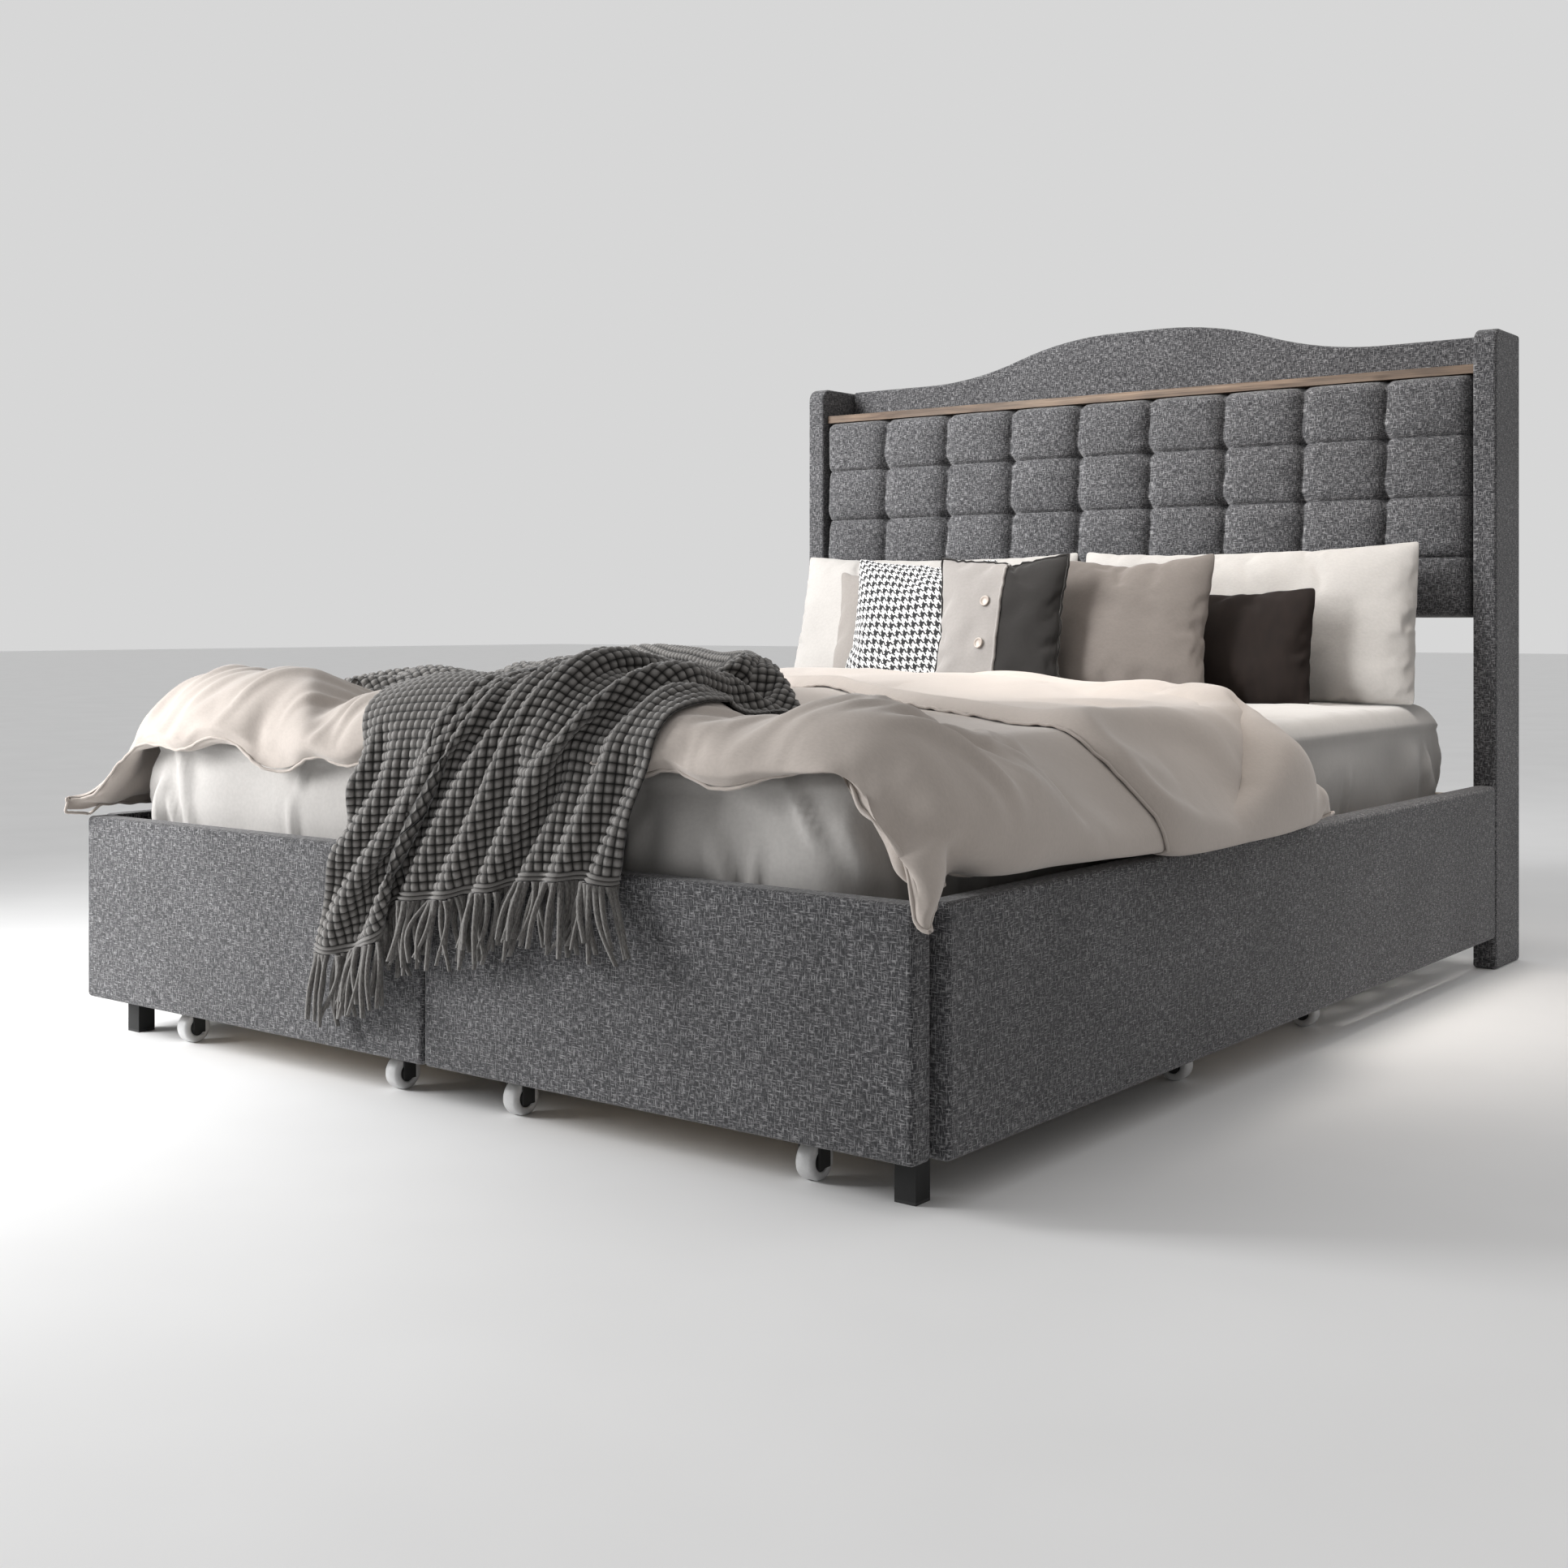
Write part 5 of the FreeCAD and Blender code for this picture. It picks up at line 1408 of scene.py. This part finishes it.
def cushion(node, name, seed, pressure=4.0, roll=0.0, yaw=0.0, pinch=0.05, square=0.4,
            piped=None):
    """A sewn case, filled by cloth pressure, then leaned back where its CAD solid stands."""
    low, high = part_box(node)
    deep, tall = high.y - low.y, high.z - low.z
    sine, cosine = math.sin(LEAN), math.cos(LEAN)
    thick = (deep * cosine - tall * sine) / (cosine ** 2 - sine ** 2)
    height = (tall * cosine - deep * sine) / (cosine ** 2 - sine ** 2)
    width = high.x - low.x
    columns, rows = round(width / CUSHION_STEP) + 1, round(height / CUSHION_STEP) + 1
    a, b = np.meshgrid(np.linspace(-1, 1, columns), np.linspace(-1, 1, rows))
    source = np.random.default_rng(seed)
    crown = (np.clip(1 - np.abs(a) ** 2.4, 0, 1) * np.clip(1 - np.abs(b) ** 2.4, 0, 1)) ** 0.5
    draw_a = 1 - pinch * (1 - b ** 2) * np.abs(a)
    draw_b = 1 - pinch * (height / width + 0.6) * (1 - a ** 2) * np.abs(b)
    x, z = a * draw_a * width / 2, b * draw_b * height / 2
    x = x + 0.0010 * source.normal(size=x.shape)
    z = z + 0.0010 * source.normal(size=z.shape)
    rumple = 0.0035 * waves(x, z, seed, 12, 0.05, 0.16)
    front = np.stack([x, -(thick * 0.47 * crown + 0.0008 + rumple * crown), z], axis=-1)
    back = np.stack([x, thick * 0.44 * crown + 0.0008 + rumple * crown, z], axis=-1)
    uv = np.stack([a * width / 2, b * height / 2], axis=-1)
    piece = two_layer(name, front, back, uv)
    settle(piece, 14, [], mass=0.12, stiffness=14, bending=0.3, pressure=pressure, gravity=0.0,
           grow=0.022, quality=4, damping=2.0)
    points = coordinates(piece)
    points -= (points.max(axis=0) + points.min(axis=0)) / 2
    size = np.ptp(points, axis=0)
    points *= np.array([width / size[0], min(1.0, thick * 1.06 / size[1]), height / size[2]])
    layers = points.reshape(2, rows, columns, 3)
    square_up(layers[0], layers[1], square, 0.97)
    points[:, 2] *= 0.975
    share = (points[:, 2] / height + 0.5)
    points[:, 1] *= 1.12 - 0.30 * share
    slump = 0.5 - share
    points[:, 0] += points[:, 0] * 0.03 * slump
    turn_c, turn_s = math.cos(roll), math.sin(roll)
    x, z = points[:, 0].copy(), points[:, 2].copy()
    points[:, 0], points[:, 2] = x * turn_c + z * turn_s, z * turn_c - x * turn_s
    points[:, 2] += height / 2
    y = points[:, 1] + points[:, 0] * math.tan(yaw)
    bow = -0.10 * (points[:, 2] - height * 0.5) ** 2 / height
    y = y + bow
    placed = np.stack([points[:, 0] + (low.x + high.x) / 2,
                       low.y + thick * cosine / 2 + y * cosine + points[:, 2] * sine,
                       low.z + thick * sine / 2 - y * sine * 0.6 + points[:, 2] * cosine], axis=1)
    placed[:, 2] += BED_TOP - 0.007 - placed[:, 2].min()
    set_coordinates(piece, placed)
    grid = placed[:rows * columns].reshape(rows, columns, 3)
    cord = None
    if piped is not None:
        other = placed[rows * columns:].reshape(rows, columns, 3)
        line = [tuple((grid[i, j] + other[i, j]) / 2) for i, j in rim_of(rows, columns)]
        cord = tube(name + "_piping", line, piped, closed=True)
    subdivide(piece, 1)
    return piece, grid, cord


def tube(name, line, radius, closed=False, sides=8):
    """A round tube along a line of points."""
    line = np.array(line)
    count = len(line)
    if closed:
        ahead = np.roll(line, -1, axis=0) - np.roll(line, 1, axis=0)
    else:
        ahead = np.gradient(line, axis=0)
    ahead /= np.maximum(np.linalg.norm(ahead, axis=1, keepdims=True), 1e-9)
    first = np.cross(ahead, (0.13, 0.95, 0.27))
    first /= np.linalg.norm(first, axis=1, keepdims=True)
    second = np.cross(ahead, first)
    turn = np.arange(sides) * 2 * math.pi / sides
    points = (line[:, None] + radius * (np.cos(turn)[None, :, None] * first[:, None]
                                        + np.sin(turn)[None, :, None] * second[:, None]))
    faces = []
    for k in range(count if closed else count - 1):
        n = (k + 1) % count
        for j in range(sides):
            m = (j + 1) % sides
            faces.append([k * sides + j, k * sides + m, n * sides + m, n * sides + j])
    if not closed:
        faces.append(list(range(sides))[::-1])
        faces.append([(count - 1) * sides + j for j in range(sides)])
    return new_piece(name, points, faces)


def button(name, place, facing, radius):
    """A round button with a raised rim and a dished face."""
    profile = [(0.0, 0.0022), (0.45, 0.0020), (0.62, 0.0026), (0.80, 0.0042), (0.93, 0.0040),
               (1.0, 0.0026), (0.97, 0.0008), (0.90, 0.0)]
    axis = Vector(facing).normalized()
    side = axis.cross(Vector((0, 0, 1))).normalized()
    other = axis.cross(side)
    turns = 28
    points = [Vector(place) + axis * profile[0][1]]
    for r, h in profile[1:]:
        for k in range(turns):
            turn = 2 * math.pi * k / turns
            points.append(Vector(place) + axis * h
                          + (side * math.cos(turn) + other * math.sin(turn)) * radius * r)
    faces = [[0, 1 + k, 1 + (k + 1) % turns] for k in range(turns)]
    for ring in range(len(profile) - 2):
        for k in range(turns):
            n = (k + 1) % turns
            a, b = 1 + ring * turns, 1 + (ring + 1) * turns
            faces.append([a + k, b + k, b + n, a + n])
    faces.append([1 + (len(profile) - 2) * turns + k for k in range(turns)][::-1])
    return new_piece(name, points, faces)


def pillows():
    plain = (("pillow_white_left", "white_cotton", 101, 6.0, 0.004, 0.012, -0.01, 0.78),
             ("pillow_white_right", "white_cotton", 102, 6.0, -0.006, -0.012, -0.01, 0.78),
             ("pillow_beige", "beige_cotton", 103, 5.0, 0.01, 0.0, 0.0, 0.5),
             ("pillow_brown", "brown_velvet", 104, 5.0, 0.0, -0.03, 0.0, 0.7),
             ("pillow_houndstooth", "houndstooth", 105, 5.0, 0.02, 0.03, 0.0, 0.6),
             ("pillow_taupe", "taupe_cotton", 106, 5.5, 0.0, -0.02, 0.0, 0.55))
    for node, finish, seed, pressure, roll, yaw, pinch, square in plain:
        piece, _, _ = cushion(node, node + "_filled", seed, pressure, roll, yaw, pinch, square)
        paint(piece, finish)
        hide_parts(node)
        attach(piece, "bed_frame")
    piece, grid, cord = cushion("pillow_button", "pillow_button_filled", 107, 5.0, -0.015, 0.02,
                                0.0, 0.5, piped=0.0028)
    rows, columns = grid.shape[:2]
    paint(piece, "button_cushion")
    piece.data.materials.append(DARK_COTTON)
    uv = vertex_uv(piece)
    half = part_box("pillow_button")[1].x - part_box("pillow_button")[0].x
    border = 0.03 * half
    corner = np.zeros(len(piece.data.loops), int)
    piece.data.loops.foreach_get("vertex_index", corner)
    middle = np.array([uv[list(p.vertices), 0].mean() for p in piece.data.polygons])
    facing = np.array([p.normal.y for p in piece.data.polygons])
    piece.data.polygons.foreach_set("material_index",
                                    ((middle > border) | (facing > 0.3)).astype(np.int32))
    column = round((border / half + 0.5) * (columns - 1))
    seam = [tuple(grid[i, column] + np.array((0, -0.0015, 0.0005))) for i in range(rows)]
    piping = tube("pillow_button_seam", seam, 0.0034)
    piping.data.materials.append(MATERIALS["button_cushion"])
    buttons = []
    for k, share in enumerate((0.43, 0.66)):
        i, j = round(share * (rows - 1)), round(0.44 * (columns - 1))
        across = grid[i, j + 1] - grid[i, j - 1]
        along = grid[i + 1, j] - grid[i - 1, j]
        normal = np.cross(across, along)
        place = grid[i, j] + normal / np.linalg.norm(normal) * 0.001
        disc = button(f"pillow_button_{k}", place, normal, 0.0115)
        disc.data.materials.append(BUTTON_PLASTIC)
        buttons.append(disc)
    cord.data.materials.append(DARK_COTTON)
    for extra in (cord, piping, *buttons):
        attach(extra, "bed_frame")
    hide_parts("pillow_button")
    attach(piece, "bed_frame")


# ---------------------------------------------------------------- camera, light and floor


def camera():
    data = bpy.data.cameras.new("camera")
    data.sensor_width = 36.0
    data.lens = 44.03
    data.shift_y = -0.1036
    data.clip_start = 0.05
    data.clip_end = 200
    camera_object = bpy.data.objects.new("camera", data)
    camera_object.location = (2.0844, FOOT_Y - 1.8511, 0.6987)
    camera_object.rotation_euler = (math.radians(90), 0, math.radians(37.71))
    bpy.context.scene.collection.objects.link(camera_object)
    bpy.context.scene.camera = camera_object


def area_light(name, location, target, size, power, spread=180, colour=(1, 1, 1)):
    data = bpy.data.lights.new(name, "AREA")
    data.shape = "RECTANGLE"
    data.size, data.size_y = size
    data.energy = power
    data.spread = math.radians(spread)
    data.color = colour
    lamp = bpy.data.objects.new(name, data)
    lamp.location = location
    lamp.visible_camera = False
    lamp.rotation_euler = (Vector(target) - Vector(location)).to_track_quat("-Z", "Y").to_euler()
    bpy.context.scene.collection.objects.link(lamp)


def studio():
    world = bpy.data.worlds.new("studio")
    bpy.context.scene.world = world
    world.use_nodes = True
    nodes, links = world.node_tree.nodes, world.node_tree.links
    towards = nodes.new("ShaderNodeVectorMath")
    towards.operation = "DOT_PRODUCT"
    towards.inputs[1].default_value = (-0.42, 0.62, 0.66)
    links.new(nodes.new("ShaderNodeTexCoord").outputs["Generated"], towards.inputs[0])
    bright = nodes.new("ShaderNodeMapRange")
    bright.inputs["From Min"].default_value = -0.75
    bright.inputs["From Max"].default_value = 0.60
    bright.inputs["To Min"].default_value = 0.22
    bright.inputs["To Max"].default_value = 0.68
    links.new(towards.outputs["Value"], bright.inputs["Value"])
    links.new(bright.outputs["Result"], nodes["Background"].inputs["Strength"])
    nodes["Background"].inputs["Color"].default_value = (1.0, 1.0, 1.0, 1.0)
    area_light("key", (-2.0, -2.35, 1.15), (-0.55, -0.9, 0.3), (1.0, 1.0), 50, 130)
    area_light("window", (-1.8, -0.9, 2.3), (-0.05, 1.1, 0.85), (1.3, 1.3), 20, 66)
    area_light("overhead", (0.40, 0.35, 2.5), (0.45, 0.40, 0.5), (1.0, 1.0), 5.0, 42,
               (1.0, 0.94, 0.88))
    area_light("fill", (3.4, -0.6, 2.6), (0.3, 0.9, 0.7), (2.6, 2.6), 2.5, 180,
               (1.0, 0.70, 0.50))
    reach = 40.0
    corners = [(-reach, -reach, 0), (reach, -reach, 0), (reach, reach, 0), (-reach, reach, 0)]
    floor = new_piece("floor", corners, [[0, 1, 2, 3]], smooth=False)
    g = Graph("pale_floor")
    haze = g.noise(g.object_coordinates(), 3.0, 2.0, flat=False)
    tone = g.ramp(haze, [(0.3, grey(0.85)), (0.7, grey(0.88))])
    floor.data.materials.append(g.finish(tone, 0.7))
    bpy.context.scene.view_settings.view_transform = "Standard"


camera()
studio()
paint_cad_nodes()
tufted_panel()
for drawer in DRAWERS:
    roll_axis = "X" if drawer.startswith("foot") else "Y"
    for end in ("front", "rear"):
        caster_wheels(f"{drawer}_{end}_wheels", f"{drawer}_{end}_axle", roll_axis)
mattress()
bedding()
pillows()
